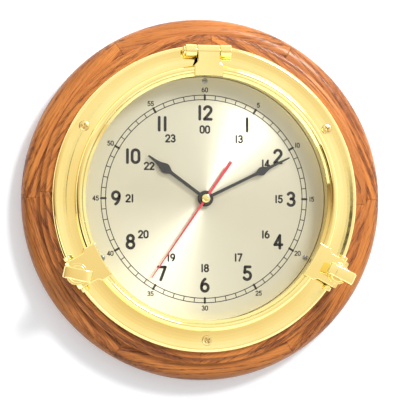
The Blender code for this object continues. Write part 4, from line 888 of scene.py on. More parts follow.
def hinge_lugs():
    """The two lugs beside the door's knuckle, and the bore through them."""
    inner = KNUCKLE_HALF + LUG_GAP
    sides = ((inner, inner + LUG_WIDTH), (-inner - LUG_WIDTH, -inner))
    lugs = [lug(HINGE[1], HINGE[2], LUG_RADIUS, low, high, ALONG_X) for low, high in sides]
    reach = inner + LUG_WIDTH + OVERLAP
    bore = circle(HINGE_BORE, 48, (HINGE[1], HINGE[2]))
    return lugs, raised("bore", bore, -reach, reach, turn=ALONG_X)


def dog_ears(degrees):
    """The two ears that hold a dog's pin, the pin's bore, and the pocket that clears the
    bolt's eye."""
    turn, start = about_z(degrees), TONGUE_HALF + LUG_GAP
    sides = ((start, start + EAR_WIDTH), (-start - EAR_WIDTH, -start))
    ears = [
        lug(DOG_DISTANCE, DOG_DEPTH, EAR_RADIUS, low, high, turn @ ALONG_Y) for low, high in sides
    ]
    reach = start + EAR_WIDTH + OVERLAP
    pin = circle(DOG_PIN + PIN_ROOM, 40, (DOG_DISTANCE, DOG_DEPTH))
    half = EYE_HALF + 0.7 * MM
    near, far = DOG_DISTANCE - EYE_RADIUS - 0.5 * MM, FLANGE_RADIUS + 3 * MM
    pocket = eased(rectangle((near, -half), (far, half)), 1.2 * MM)
    floor = DOG_DEPTH - EYE_RADIUS - 0.3 * MM
    return (
        ears, raised("pin", pin, -reach, reach, turn=turn @ ALONG_Y),
        raised("pocket", pocket, floor, DOG_DEPTH, turn=turn),
    )


def screw_hole(degrees):
    """A hole for a flange screw, countersunk at its front."""
    wide, face = SCREW_HOLE + SCREW_SINK + 0.2 * MM, FLANGE_FRONT + OVERLAP
    sunk = [
        (0.0, FLANGE_BACK - OVERLAP), (SCREW_HOLE, FLANGE_BACK - OVERLAP),
        (SCREW_HOLE, FLANGE_FRONT - SCREW_SINK - 0.2 * MM), (wide, FLANGE_FRONT), (wide, face),
        (0.0, face),
    ]
    return moved(turned("hole", sunk, 64, True), at_polar(SCREW_CIRCLE, degrees))


def dial_screw_holes(below, above):
    """The holes for the dial's screws, between two depths."""
    for degrees in DIAL_SCREW_DEGREES:
        hole = circle(DIAL_SCREW_HOLE, 24, polar(DIAL_SCREW_CIRCLE, degrees))
        yield raised("hole", hole, below, above)


class CLOCK_OT_case(bpy.types.Operator):
    """Cast and turn the brass case: flange, tube, dial ledge, hinge lugs and ears"""

    bl_idname = "clock.case"
    bl_label = "Brass case"

    def execute(self, context):
        ring = case_body()
        parts, bore = hinge_lugs()
        holes, pockets = [bore], []
        for degrees in DOG_DEGREES.values():
            ears, pin, pocket = dog_ears(degrees)
            parts += ears
            holes.append(pin)
            pockets.append(pocket)
        holes += [screw_hole(degrees) for degrees in SCREW_DEGREES]
        back = LEDGE_FRONT - LEDGE_THICKNESS
        holes += dial_screw_holes(back - OVERLAP, LEDGE_FRONT + OVERLAP)
        combined(ring, "UNION", gathered(*parts))
        combined(ring, "DIFFERENCE", gathered(*holes), gathered(*pockets))
        finished(ring, brass_material(context.scene.clock_brass), "polished_brass", "base_ring")
        return {"FINISHED"}


def screw(head, shank, cross, height, under, tip, sink=0.0):
    """A screw along Z: a domed head with a cross recess, sunk in a cone below its rim where
    it has one, a shank whose thread is a cosine, and a point."""
    a = np.radians(np.linspace(90, 0, 12))
    rim = 0.22 * height
    dome = np.stack([head * np.cos(a), under + rim + (height - rim) * np.sin(a)], -1)
    turns = max(3, int((under - sink - tip - shank) / SCREW_PITCH))
    z = np.linspace(under - sink, tip + shank, 4 * turns + 1)
    dip = 0.14 * shank * (1 - np.cos(np.pi / 2 * np.arange(len(z))))
    thread = np.stack([shank - dip, z], -1)
    profile = np.concatenate([dome, [(head, under)], thread, [(0.3 * shank, tip), (0.0, tip)]])
    made = turned("screw", profile, 64, True)
    long, wide, deep = cross
    x, y = long / 2, wide / 2
    plus = [
        (x, -y), (x, y), (y, y), (y, x), (-y, x), (-y, y), (-x, y), (-x, -y), (-y, -y), (-y, -x),
        (y, -x), (y, -y),
    ]
    top = under + height
    cutter = raised("cross", eased(plus, 0.2 * wide), top - deep, top + OVERLAP, (0.4 * wide, 0.0))
    return combined(made, "DIFFERENCE", cutter)


class CLOCK_OT_screws(bpy.types.Operator):
    """Drive the three oval-head screws through the flange"""

    bl_idname = "clock.screws"
    bl_label = "Case screws"

    def execute(self, context):
        look = context.scene.clock_brass
        brass = plain_metal("Turned screw brass", look.screw, 0.24, 900.0, 0.02 * MM)
        under = FLANGE_FRONT + 0.1 * MM
        for i, degrees in enumerate(SCREW_DEGREES):
            name = f"flange_screw_{i + 1}"
            low, high = bench_box(name)
            height = SCREW_DOME * (high[2] - under)
            made = screw(**FLANGE_SCREW, height=height, under=under, tip=low[2], sink=SCREW_SINK)
            moved(made, at_polar(SCREW_CIRCLE, degrees) @ about_z(degrees + 17 * i))
            finished(made, brass, "screw_brass", name)
        return {"FINISHED"}


def tongue_plan(half, nose, corner):
    """A tongue seen from the front, along +X: its inner edge follows the sight, it flares in
    two coves where it leaves the ring, and its far corners are rounded."""
    wide = half + FLARE_WIDTH
    open_degrees = math.degrees(math.asin(wide / SIGHT_RADIUS))
    s = np.radians(np.linspace(0, 90, 9))
    rim = DOOR_RADIUS - 0.6 * MM
    flare = FLARE_WIDTH * (1 - np.sin(s)) ** FLARE_POWER
    cove = np.stack([rim + FLARE_LENGTH * np.sin(s), half + flare], -1)
    top = np.concatenate([cove, arc((nose - corner, half - corner), corner, 90, 0, 8)])
    inner = arc((0, 0), SIGHT_RADIUS, open_degrees, -open_degrees, 12)
    return np.concatenate([inner, top * (1, -1), top[::-1]])


def tongue(half, nose, corner, back, turn):
    """A tongue of the door: its front part over the ring, fused to a thicker part beyond,
    which is a hair narrower, so that no two faces lie in one plane."""
    plan = tongue_plan(half, nose, corner)
    front = raised("tongue", plan, REBATE_FRONT + FACE_SHIFT, TONGUE_FRONT, (0.0, 0.9 * MM), turn)
    beyond = plan[plan[:, 0] > TONGUE_ROOT] * (1.0, 0.998) - (FACE_SHIFT, 0.0)
    web = raised("web", beyond, back, REBATE_FRONT + OVERLAP, (0.5 * MM, 0.0), turn)
    return combined(front, "UNION", web)


def door_ring():
    """The door's casting: a moulded ring, the hinge's tongue with its knuckle, and the two
    forked tongues, whose noses are round about the dogs' pins."""
    crest = [(DOOR_RADIUS - a * MM, DOOR_CREST - d * MM) for a, d in MOULDING]
    outline = [
        (REBATE_RADIUS, DOOR_BACK), (DOOR_RADIUS, DOOR_BACK), *crest,
        (SIGHT_RADIUS, REBATE_FRONT), (REBATE_RADIUS, REBATE_FRONT),
    ]
    ring = turned("door", eased(outline, np.array(MOULDING_EASE) * MM, 5))
    knuckle = raised(
        "knuckle", circle(KNUCKLE_RADIUS, 72, (HINGE[1], HINGE[2])),
        -KNUCKLE_HALF, KNUCKLE_HALF, (0.6 * MM,) * 2, ALONG_X,
    )
    hinge = tongue(KNUCKLE_HALF - FACE_SHIFT, HINGE[1], 0.1 * MM, KNUCKLE_WEB, about_z(90))
    parts = [combined(hinge, "UNION", knuckle)]
    reach = KNUCKLE_HALF + OVERLAP
    bore = circle(HINGE_BORE, 48, (HINGE[1], HINGE[2]))
    holes, slots = [raised("bore", bore, -reach, reach, turn=ALONG_X)], []
    nose, above = TONGUE_FRONT - DOG_DEPTH, TONGUE_FRONT + 2 * MM
    far, mouth = DOG_DISTANCE + 2 * nose, DOG_DISTANCE + TONGUE_REACH + 3 * MM
    over = np.concatenate([
        arc((DOG_DISTANCE, DOG_DEPTH), nose, 90, 20, 16),
        [(far, DOG_DEPTH), (far, above), (DOG_DISTANCE, above)],
    ])
    end = arc((DOG_DISTANCE - SLOT_SETBACK, 0), SLOT_HALF, 90, 270, 24)
    slot = np.concatenate([[(mouth, SLOT_HALF)], end, [(mouth, -SLOT_HALF)]])
    low, high = TONGUE_BACK - OVERLAP, TONGUE_FRONT + OVERLAP
    for degrees in DOG_DEGREES.values():
        turn = about_z(degrees)
        parts.append(tongue(TONGUE_HALF, DOG_DISTANCE + TONGUE_REACH, 2.0 * MM, TONGUE_BACK, turn))
        holes.append(raised("nose", over, -20 * MM, 20 * MM, turn=turn @ ALONG_Y))
        slots.append(raised("slot", slot, low, high, turn=turn))
    combined(ring, "UNION", gathered(*parts))
    return combined(ring, "DIFFERENCE", gathered(*holes), gathered(*slots))


def pane():
    """The glass: a disc whose front edge is ground off."""
    bevel = 0.8 * MM
    profile = [
        (0.0, GLASS_BACK), (GLASS_RADIUS, GLASS_BACK), (GLASS_RADIUS, GLASS_FRONT - bevel),
        (GLASS_RADIUS - bevel, GLASS_FRONT), (0.0, GLASS_FRONT),
    ]
    return turned("pane", profile, ROUND, True)


def hinge_pin():
    """The hinge pin along X: a domed head at the left, and a chamfered far end."""
    reach = KNUCKLE_HALF + LUG_GAP + LUG_WIDTH
    seat, far = -reach - 0.3 * MM, reach + 0.3 * MM
    a = np.radians(np.linspace(0, 90, 12))
    dome = seat - PIN_HEAD_HEIGHT * (0.25 + 0.75 * np.cos(a))
    head = np.stack([PIN_HEAD * np.sin(a), dome], -1)
    chamfer = 0.9 * MM
    shank = [
        (PIN_HEAD, seat), (HINGE_PIN, seat), (HINGE_PIN, far - chamfer),
        (HINGE_PIN - chamfer, far), (0.0, far),
    ]
    pin = turned("pin", np.concatenate([head, shank]), 64, True)
    return moved(pin, Matrix.Translation((0, HINGE[1], HINGE[2])) @ ALONG_X)


class CLOCK_OT_door(bpy.types.Operator):
    """Turn the door's moulded ring with its three tongues, and glaze it"""

    bl_idname = "clock.door"
    bl_label = "Door"

    def execute(self, context):
        brass = brass_material(context.scene.clock_brass)
        works = context.scene.clock_works
        rubber = moulded_material("Seal rubber", works.rubber, 0.6, 0.6 * MM, 0.04 * MM)
        seal = eased(rectangle((SEAL_BORE, SEAL_BACK), (GLASS_RADIUS, SEAL_FRONT)), 0.2 * MM)
        retainer = rectangle((RETAINER_BORE, RETAINER_BACK), (GLASS_RADIUS, RETAINER_FRONT))
        retainer = eased(retainer, 0.35 * MM)
        finished(door_ring(), brass, "polished_brass", "door_ring")
        finished(pane(), glass_material(), "window_glass", "door_glass")
        finished(turned("seal", seal), rubber, "black_rubber", "glass_seal")
        finished(turned("retainer", retainer), brass, "polished_brass", "glass_retainer")
        finished(hinge_pin(), brass, "polished_brass", "hinge_pin")
        return {"FINISHED"}


def eye_bolt(top):
    """A swing bolt along Z: an eye round its pin, and a shank whose thread is a cosine."""
    start = EYE_RADIUS - 0.6 * MM
    z = np.arange(start + 1.6 * MM, top - 0.5 * MM, THREAD_PITCH / 4)
    wave = BOLT_RADIUS - THREAD_DEPTH / 2 * (1 - np.cos(np.pi / 2 * np.arange(len(z))))
    shank = np.concatenate([
        [(0.0, start), (BOLT_RADIUS, start), (BOLT_RADIUS, start + 1.3 * MM)],
        np.stack([wave, z], -1),
        [(BOLT_RADIUS - 0.5 * MM, top), (0.0, top)],
    ])
    eye = raised("eye", circle(EYE_RADIUS, 64), -EYE_HALF, EYE_HALF, (0.6 * MM,) * 2, ALONG_Y)
    combined(eye, "UNION", turned("shank", shank, 64, True))
    hole = circle(DOG_PIN + PIN_ROOM, 48)
    bore = raised("bore", hole, -2 * EYE_HALF, 2 * EYE_HALF, turn=ALONG_Y)
    return combined(eye, "DIFFERENCE", bore)


def thumb_nut():
    """A thumb nut along Z from zero: a round collar, and a thick wing. Its crown is half a
    squarish ellipse, whose sine and cosine are raised to a power below one."""
    shoulder = COLLAR_HEIGHT + WING_HEIGHT * CROWN_FROM
    rise = COLLAR_HEIGHT + WING_HEIGHT - shoulder
    foot = COLLAR_HEIGHT - OVERLAP
    turn = arc((0, 0), 1.0, 0, 180, 40)
    crown = np.sign(turn) * np.abs(turn) ** CROWN_POWER * (WING_HALF, rise) + (0, shoulder)
    base = WING_FOOT * WING_HALF
    outline = np.concatenate([[(-base, foot), (base, foot)], crown])
    half = WING_THICKNESS / 2
    wing = raised("wing", eased(outline, 1.5 * MM, 2), -half, half, (1.3 * MM,) * 2, ALONG_Y)
    collar = eased(rectangle((NUT_BORE, 0), (COLLAR_RADIUS, COLLAR_HEIGHT)), 0.7 * MM)
    nut = combined(turned("nut", collar, 96), "UNION", wing)
    bore = raised("bore", circle(NUT_BORE, 48), -OVERLAP, NUT_BORE_DEPTH)
    return combined(nut, "DIFFERENCE", bore)


class CLOCK_OT_dogs(bpy.types.Operator):
    """Make the two dogs: pin, eye bolt, washer and thumb nut"""

    bl_idname = "clock.dogs"
    bl_label = "Dogs"

    def execute(self, context):
        brass = brass_material(context.scene.clock_brass)
        slot = "polished_brass"
        reach = TONGUE_HALF + LUG_GAP + EAR_WIDTH + 0.3 * MM
        for side, degrees in DOG_DEGREES.items():
            here = at_polar(DOG_DISTANCE, degrees, DOG_DEPTH) @ about_z(degrees)
            pin = raised("pin", circle(DOG_PIN, 48), -reach, reach, (0.5 * MM,) * 2, ALONG_Y)
            finished(moved(pin, here), brass, slot, f"{side}_dog_pin")

            top = float(bench_box(f"{side}_swing_bolt")[1][2]) - DOG_DEPTH
            finished(moved(eye_bolt(top), here), brass, slot, f"{side}_swing_bolt")

            low, high = (float(v[2]) - DOG_DEPTH for v in bench_box(f"{side}_dog_washer"))
            flat = eased(rectangle((BOLT_RADIUS + 0.4 * MM, low), (WASHER_RADIUS, high)), 0.35 * MM)
            finished(moved(turned("washer", flat, 96), here), brass, slot, f"{side}_dog_washer")

            seat = float(bench_box(f"{side}_thumb_nut")[0][2]) - DOG_DEPTH
            spot = here @ Matrix.Translation((0, 0, seat)) @ about_z(NUT_TURN[side])
            finished(moved(thumb_nut(), spot), brass, slot, f"{side}_thumb_nut")
        return {"FINISHED"}


def digit(character):
    """The strokes of a numeral one unit high, as centre lines; closed strokes end where
    they start. Bowls are arcs, and all else is straight."""
    half = 0.27
    shapes = {
        "0": [np.concatenate([
            arc((half, 1 - half), half, 0, 180, 12), arc((half, half), half, 180, 360, 12),
            [(2 * half, 1 - half)],
        ])],
        "1": [[(half, 1.0), (half, 0.0)]],
        "2": [
            np.concatenate([arc((half, 1 - half), half, 165, -38, 14), [(0.0, 0.0)]]),
            [(0.0, 0.0), (2 * half, 0.0)],
        ],
        "3": [
            arc((0.25, 0.755), 0.245, 150, -90, 13),
            arc((0.26, 0.265), (0.275, 0.265), 90, -150, 13),
        ],
        "4": [[(0.58, 0.27), (0.0, 0.27)], [(0.0, 0.27), (0.41, 1.0)], [(0.41, 1.0), (0.41, 0.0)]],
        "5": [
            [(0.50, 1.0), (0.10, 1.0)], [(0.10, 1.0), (0.06, 0.55)],
            arc((0.25, 0.31), (0.29, 0.31), 128, -148, 14),
        ],
        "6": [
            arc((half, 0.29), (half, 0.29), 0, 360, 22),
            arc((0.47, 0.31), (0.47, 0.69), 180, 112, 8),
        ],
        "7": [[(0.0, 1.0), (0.54, 1.0)], [(0.54, 1.0), (0.17, 0.0)]],
        "8": [
            arc((half, 0.76), (0.235, 0.24), 0, 360, 20),
            arc((half, 0.265), (0.275, 0.265), 0, 360, 22),
        ],
    }
    if character == "9":
        return [np.array([2 * half, 1.0]) - line for line in digit("6")]
    return [np.asarray(line, float) for line in shapes[character]]


def ribbon(line, half, low, high):
    """A flat stroke along a centre line: at each point its two sides lie half its width to
    the left and right; its ends are half rounds, and a closed line joins up."""
    line = np.asarray(line, float)
    closed = np.linalg.norm(line[0] - line[-1]) < 0.1 * half
    line = line[:-1] if closed else line
    way = np.roll(line, -1, 0) - line if closed else np.diff(line, axis=0)
    way /= np.linalg.norm(way, axis=1, keepdims=True)
    before = np.roll(way, 1, 0) if closed else np.concatenate([way[:1], way])
    after = way if closed else np.concatenate([way, way[-1:]])
    mean = before + after
    mean /= np.linalg.norm(mean, axis=1, keepdims=True)
    wide = half / np.maximum(np.sum(after * mean, axis=1), 0.5)
    if not closed:
        a = np.radians(np.linspace(90, 0, 6))[:-1]
        start = line[0] - mean[0] * half * np.sin(a)[:, None]
        end = line[-1] + mean[-1] * half * np.sin(a)[::-1, None]
        line = np.concatenate([start, line, end])
        mean = np.concatenate([np.repeat(mean[:1], 5, 0), mean, np.repeat(mean[-1:], 5, 0)])
        wide = np.concatenate([half * np.cos(a), wide, half * np.cos(a)[::-1]])
    across = np.stack([-mean[:, 1], mean[:, 0]], -1) * wide[:, None]
    rows = len(line)
    left, right = line + across, line - across
    sides = ((left, low), (right, low), (right, high), (left, high))
    points = np.stack([np.column_stack([p, np.full(rows, z)]) for p, z in sides], 1)
    return points.reshape(-1, 3), grid(rows, 4, closed)


def number(text, place, size, weight, low, high):
    """The ribbons of an upright number, its middle at a place."""
    widths = [0.47 if character == "1" else 0.80 for character in text]
    pen = -sum(widths) / 2
    made = []
    for character, width in zip(text, widths):
        left, ink = (0.135, 0.27) if character == "1" else (0.0, 0.54)
        for line in digit(character):
            spot = (line + (pen + (width - ink) / 2 - left, -0.5)) * (size - weight) + place
            made.append(ribbon(spot, weight / 2, low, high))
        pen += width
    return made


def dial_print(look):
    """The print as one mesh, a hair sunk into the dial: the numbers, each upright on its
    circle, the minute track's two lines, and a tick for each minute."""
    low, high = DIAL_FRONT - INK_SUNK, DIAL_FRONT + INK_PROUD
    strokes = []
    for hour in range(1, 13):
        day = hour + 12
        for text, radius, size, weight in (
            (str(hour), HOUR_PLACES.get(hour, HOUR_CIRCLE), look.hour, HOUR_WEIGHT),
            (str(day % 24).zfill(2), DAY_PLACES.get(day, DAY_CIRCLE), look.day, DAY_WEIGHT),
            (str(5 * hour), MINUTE_CIRCLE, look.minute, MINUTE_WEIGHT),
        ):
            place = polar(radius * MM, 90 - 30 * hour)
            strokes += number(text, place, size, weight * size, low, high)
    outer, inner = look.track, look.track - look.track_width
    for radius in (outer, inner):
        strokes.append(ribbon(arc((0, 0), radius, 0, 360, 240), LINE_HALF, low, high))
    for minute in range(60):
        half = TICK_HALF if minute % 5 else LONG_TICK_HALF
        line = [polar(radius, 6 * minute) for radius in (inner, (inner + outer) / 2, outer)]
        strokes.append(ribbon(line, half, low, high))
    starts = np.cumsum([0] + [len(points) for points, _ in strokes[:-1]])
    faces = np.concatenate([f + s for (_, f), s in zip(strokes, starts)])
    return shell("print", np.concatenate([p for p, _ in strokes]), faces.tolist())


class CLOCK_OT_dial(bpy.types.Operator):
    """Cut the dial plate, print it and screw it down"""

    bl_idname = "clock.dial"
    bl_label = "Dial"

    def execute(self, context):
        look = context.scene.clock_dial
        flat = eased(rectangle((DIAL_HOLE, DIAL_BACK), (DIAL_RADIUS, DIAL_FRONT)), 0.12 * MM)
        plate = turned("plate", flat)
        combined(plate, "DIFFERENCE", *dial_screw_holes(DIAL_BACK - OVERLAP, DIAL_FRONT + OVERLAP))
        finished(plate, dial_material(look), "dial_finish", "dial_plate")

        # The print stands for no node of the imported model, so it only rides with the dial
        made = moved(dial_print(look), HANG)
        made.name = made.data.name = "dial_print"
        made.data.materials.append(paint_material("Pad-printed ink", look.ink, 0.8))
        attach(made, BODY_OF["dial_plate"])

        nickel = context.scene.clock_works.steel
        metal = plain_metal("Nickelled steel", nickel, 0.3, 900.0, 0.02 * MM)
        under = DIAL_FRONT + 0.2 * MM
        for i, degrees in enumerate(DIAL_SCREW_DEGREES):
            name = f"dial_screw_{i + 1}"
            low, high = bench_box(name)
            made = screw(**DIAL_SCREW, height=high[2] - under, under=under, tip=low[2])
            moved(made, at_polar(DIAL_SCREW_CIRCLE, degrees) @ about_z(25 * i))
            finished(made, metal, "screw_brass", name)
        return {"FINISHED"}


def bulb_blade(length, stem, at, bulb, neck, hub):
    """A hand's outline along +Y: a slim stem, a round bulb drawn out on its far side, and a
    long point. Each corner is eased by its own radius."""
    side = np.array([
        (stem / 2, hub / 2), (stem / 2, at - 1.25 * bulb), (0.72 * bulb, at - 0.7 * bulb),
        (bulb, at), (0.72 * bulb, at + 0.75 * bulb), (neck / 2, at + 1.7 * bulb),
        (0.22 * neck, length),
    ])
    radii = np.array([0.1, 3.0, 2.4, 2.4, 2.4, 5.0, 0.5])
    outline = np.concatenate([side, (side * (-1, 1))[::-1]])
    return eased(outline * MM, np.concatenate([radii, radii[::-1]]) * MM, 5)


class CLOCK_OT_hands(bpy.types.Operator):
    """Stamp and paint the three hands, and add the cap"""

    bl_idname = "clock.hands"
    bl_label = "Hands"

    def execute(self, context):
        look = context.scene.clock_hands
        black = paint_material("Satin black paint", look.black, 0.38)
        red = paint_material("Red paint", look.red, 0.3, 0.3)
        half = np.array(SECOND_HALF)
        outlines = {name: bulb_blade(**sizes) for name, sizes in BULB_HANDS.items()}
        second = np.concatenate([half, (half * (-1, 1))[::-1]]) * MM
        outlines["second_hand"] = eased(second, 0.5 * MM)
        for name, outline in outlines.items():
            low, high = (float(v[2]) for v in bench_box(name))
            made = raised(name, outline, low, high, (0.0, HAND_EDGE))
            if name in BULB_HANDS:
                hub = circle(BULB_HANDS[name]["hub"] * MM, 72)
                combined(made, "UNION", raised("hub", hub, low, high, (0.0, HAND_EDGE)))
            hole = circle(ring_of(name)[0], 32)
            combined(made, "DIFFERENCE", raised("hole", hole, low - OVERLAP, high + OVERLAP))
            moved(made, about_z(-HAND_DEGREES[name]))
            if name in BULB_HANDS:
                finished(made, black, "black_enamel", name)
            else:
                finished(made, red, "red_enamel", name)

        a = np.radians(np.linspace(0, 90, 14))
        rim = CAP_BACK + 0.35 * (CAP_FRONT - CAP_BACK)
        dome = np.stack([CAP_RADIUS * np.cos(a), rim + (CAP_FRONT - rim) * np.sin(a)], -1)
        profile = np.concatenate([[(0.0, CAP_BACK), (CAP_RADIUS, CAP_BACK)], dome])
        brass = brass_material(context.scene.clock_brass)
        finished(turned("cap", profile, 64, True), brass, "polished_brass", "centre_cap")
        return {"FINISHED"}


class CLOCK_OT_movement(bpy.types.Operator):
    """Dress the quartz movement: case, cell, motor and wheels"""

    bl_idname = "clock.movement"
    bl_label = "Movement"

    def execute(self, context):
        look = context.scene.clock_works
        black = moulded_material("Moulded black ABS", look.case, 0.5, 0.5 * MM, 0.03 * MM)
        softened("movement_case", 0.5 * MM, black, "black_plastic")
        softened("movement_cover", 0.4 * MM, black, "black_plastic")
        rubber = moulded_material("Movement rubber", look.rubber, 0.65, 0.6 * MM, 0.04 * MM)
        softened("rubber_washer", 0.2 * MM, rubber, "black_rubber")
        acetal = moulded_material("White acetal", look.knob, 0.35, 0.8 * MM, 0.02 * MM)
        softened("setting_knob", 0.3 * MM, acetal, "white_plastic")
        softened("battery", 0.5 * MM, battery_material(look), "battery_sleeve")
        steel = plain_metal("Bare rolled steel", look.steel, 0.32, 700.0, 0.02 * MM)
        dressed(steel, "contact_positive", "contact_negative", "rotor", "stator")
        wire = plain_metal("Enamelled copper wire", look.copper, 0.3, 1500.0, 0.06 * MM)
        dressed(wire, "coil")
        mask = moulded_material("Solder mask", look.board, 0.35, 0.4 * MM, 0.02 * MM)
        dressed(mask, "circuit_board")
        brass = context.scene.clock_brass
        gear = plain_metal("Stamped wheel brass", brass.gear, 0.3, 700.0, 0.02 * MM)
        wheels = ("hour", "minute", "third", "centre", "second", "middle")
        dressed(gear, "cannon_pinion", "shaft_nut", *(f"{wheel}_wheel" for wheel in wheels))
        return {"FINISHED"}


class CLOCK_OT_hanger(bpy.types.Operator):
    """Screw the keyhole hanger to the oak's back and stick on the wall pads"""

    bl_idname = "clock.hanger"
    bl_label = "Hanger"

    def execute(self, context):
        look = context.scene.clock_works
        zinc = plain_metal("Zinc-plated steel", look.zinc, 0.34, 260.0, 0.03 * MM)
        for name in ("hanger_plate", "hanger_screw_1", "hanger_screw_2"):
            softened(name, 0.25 * MM, zinc, "zinc_steel")
        rubber = moulded_material("Pad rubber", look.rubber, 0.7, 0.6 * MM, 0.04 * MM)
        for side in ("left", "right"):
            softened(f"{side}_wall_pad", 0.8 * MM, rubber, "black_rubber")
        return {"FINISHED"}


def stage_white(look):
    """Matt white card: it glows a little where the camera or a mirror sees it, so that it
    stays white, and it is clear from behind, so that a view from the back isn't hidden."""
    made, tree = new_material("Stage white", Roughness=0.9, Base_Color=(*look.wall, 1))
    path = add(tree, "ShaderNodeLightPath").outputs
    seen = sum_of(tree, "ADD", path["Is Camera Ray"], path["Is Glossy Ray"])
    seen = sum_of(tree, "ADD", seen, path["Is Transmission Ray"])
    strength = sum_of(tree, "MULTIPLY", seen, WALL_GLOW)
    glow = add(tree, "ShaderNodeEmission", {"Strength": strength}, {"Color": (1, 1, 1, 1)})
    card = tree.nodes["Principled BSDF"].outputs[0]
    front = add(tree, "ShaderNodeAddShader", {0: card, 1: glow.outputs[0]}).outputs[0]
    behind = add(tree, "ShaderNodeNewGeometry").outputs["Backfacing"]
    clear = add(tree, "ShaderNodeBsdfTransparent").outputs[0]
    both = add(tree, "ShaderNodeMixShader", {0: behind, 1: front, 2: clear}).outputs[0]
    tree.links.new(both, tree.nodes["Material Output"].inputs["Surface"])
    return made


def wall_and_floor(white):
    """A square wall behind the clock and a square floor far below it, both out of the way of
    lamps and bounced light."""
    x, t = np.array([(-STAGE_HALF, 0), (STAGE_HALF, 0), (STAGE_HALF, 1), (-STAGE_HALF, 1)]).T
    wall = np.stack([x, np.full(4, WALL_Y), FLOOR_Z + 2 * STAGE_HALF * t], -1)
    ground = np.stack([x, WALL_Y - 2 * STAGE_HALF * (1 - t), np.full(4, FLOOR_Z)], -1)
    for name, points in (("wall", wall), ("floor", ground)):
        mesh = bpy.data.meshes.new(name)
        mesh.from_pydata(points.tolist(), [], [(0, 1, 2, 3)])
        mesh.materials.append(white)
        thing = bpy.data.objects.new(name, mesh)
        bpy.context.scene.collection.objects.link(thing)
        thing.visible_shadow = thing.visible_diffuse = False


def hang_lamps():
    """Area lamps, each turned to the hands' axis."""
    middle = Vector((0, 0, AXIS_HEIGHT))
    for name, place, size, watts in LAMPS:
        lamp = bpy.data.lights.new(name, "AREA")
        lamp.size, lamp.energy = size, watts
        thing = bpy.data.objects.new(name, lamp)
        thing.location = place
        thing.rotation_euler = (middle - Vector(place)).to_track_quat("-Z", "Y").to_euler()
        bpy.context.scene.collection.objects.link(thing)


def studio_room():
    """The room as light. Its shade at a direction follows a level: how far that points to
    the right and up. Metal mirrors stronger shades than the light that falls on the rest,
    and the camera sees plain white."""
    room = bpy.data.worlds.new("Studio")
    room.use_nodes = True
    tree = room.node_tree
    way = add(tree, "ShaderNodeTexCoord").outputs["Generated"]
    split = add(tree, "ShaderNodeSeparateXYZ", {"Vector": way}).outputs
    right = sum_of(tree, "MULTIPLY", split[0], ROOM_RIGHT)
    up = sum_of(tree, "MULTIPLY", split[2], ROOM_UP)
    level = sum_of(tree, "ADD", sum_of(tree, "ADD", right, up), ROOM_LEVEL)
    (x, z), (wide, high) = STAND, STAND_HALF
    stand = add(
        tree, "ShaderNodeMapping", {"Vector": way},
        {"Scale": (1 / wide, 0.0, 1 / high), "Location": (-x / wide, 0.0, -z / high)},
    ).outputs[0]
    away = add(tree, "ShaderNodeVectorMath", {0: stand}, operation="LENGTH").outputs["Value"]
    mirrored = ramp(tree, level, *ROOM_MIRRORED)
    mirrored = blend(tree, ramp(tree, away, (0.8, 0.0), (1.0, 1.0)), STAND_SHADE, mirrored)
    path = add(tree, "ShaderNodeLightPath").outputs
    shade = blend(tree, path["Is Glossy Ray"], ramp(tree, level, *ROOM_SOFT), mirrored)
    seen = blend(tree, path["Is Camera Ray"], shade, (1.0, 1.0, 1.0))
    background = tree.nodes["Background"].inputs
    tree.links.new(seen, background["Color"])
    background["Strength"].default_value = ROOM_LIGHT
    return room


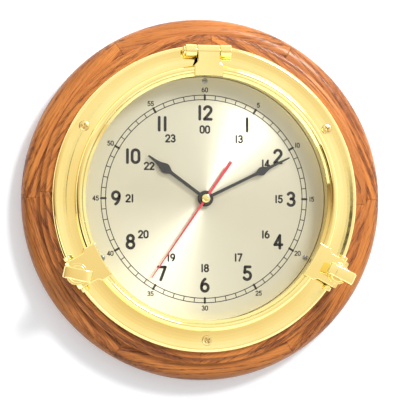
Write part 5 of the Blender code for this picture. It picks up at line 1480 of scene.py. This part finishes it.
def aimed_camera(look):
    """A camera that looks at the dial from the stage's azimuth, elevation and distance."""
    aim = Vector((AIM[0], AIM[1], AXIS_HEIGHT + AIM[2]))
    az, el = look.azimuth, look.elevation
    way = Vector((math.sin(az) * math.cos(el), -math.cos(az) * math.cos(el), math.sin(el)))
    lens = bpy.data.cameras.new("camera")
    lens.sensor_width = 36.0
    lens.lens = lens.sensor_width * look.distance / look.span
    camera = bpy.data.objects.new("camera", lens)
    camera.location = aim + way * look.distance
    camera.rotation_euler = (-way).to_track_quat("-Z", "Y").to_euler()
    bpy.context.scene.collection.objects.link(camera)
    return camera


class CLOCK_OT_stage(bpy.types.Operator):
    """Hang a wall, lay a floor, and set the lamps and the camera"""

    bl_idname = "clock.stage"
    bl_label = "Stage"

    def execute(self, context):
        scene, look = context.scene, context.scene.clock_stage
        scene.view_settings.view_transform = "Standard"
        wall_and_floor(stage_white(look))
        hang_lamps()
        scene.world = studio_room()
        scene.camera = aimed_camera(look)
        return {"FINISHED"}


class CLOCK_PT_panel(bpy.types.Panel):
    """The clock's pieces, in the order of their making"""

    bl_idname = "CLOCK_PT_panel"
    bl_label = "Porthole Clock"
    bl_space_type = "VIEW_3D"
    bl_region_type = "UI"
    bl_category = "Clock"

    def draw(self, context):
        for operator in OPERATORS:
            self.layout.operator(operator.bl_idname)


OPERATORS = (
    CLOCK_OT_stage, CLOCK_OT_oak, CLOCK_OT_case, CLOCK_OT_screws, CLOCK_OT_door, CLOCK_OT_dogs,
    CLOCK_OT_dial, CLOCK_OT_hands, CLOCK_OT_movement, CLOCK_OT_hanger,
)
SETTINGS = {
    "clock_oak": OakSettings,
    "clock_brass": BrassSettings,
    "clock_dial": DialSettings,
    "clock_hands": HandSettings,
    "clock_works": WorksSettings,
    "clock_stage": StageSettings,
}


def register():
    """Add the settings, the operators and the panel."""
    for name, group in SETTINGS.items():
        bpy.utils.register_class(group)
        setattr(bpy.types.Scene, name, PointerProperty(type=group))
    for kind in (*OPERATORS, CLOCK_PT_panel):
        bpy.utils.register_class(kind)


def unregister():
    """Take them away again."""
    for kind in (*OPERATORS, CLOCK_PT_panel):
        bpy.utils.unregister_class(kind)
    for name, group in SETTINGS.items():
        delattr(bpy.types.Scene, name)
        bpy.utils.unregister_class(group)


def main():
    """Make every piece."""
    register()
    for operator in OPERATORS:
        group, name = operator.bl_idname.split(".")
        getattr(getattr(bpy.ops, group), name)()
    bpy.context.view_layer.update()


if __name__ == "__main__":
    main()
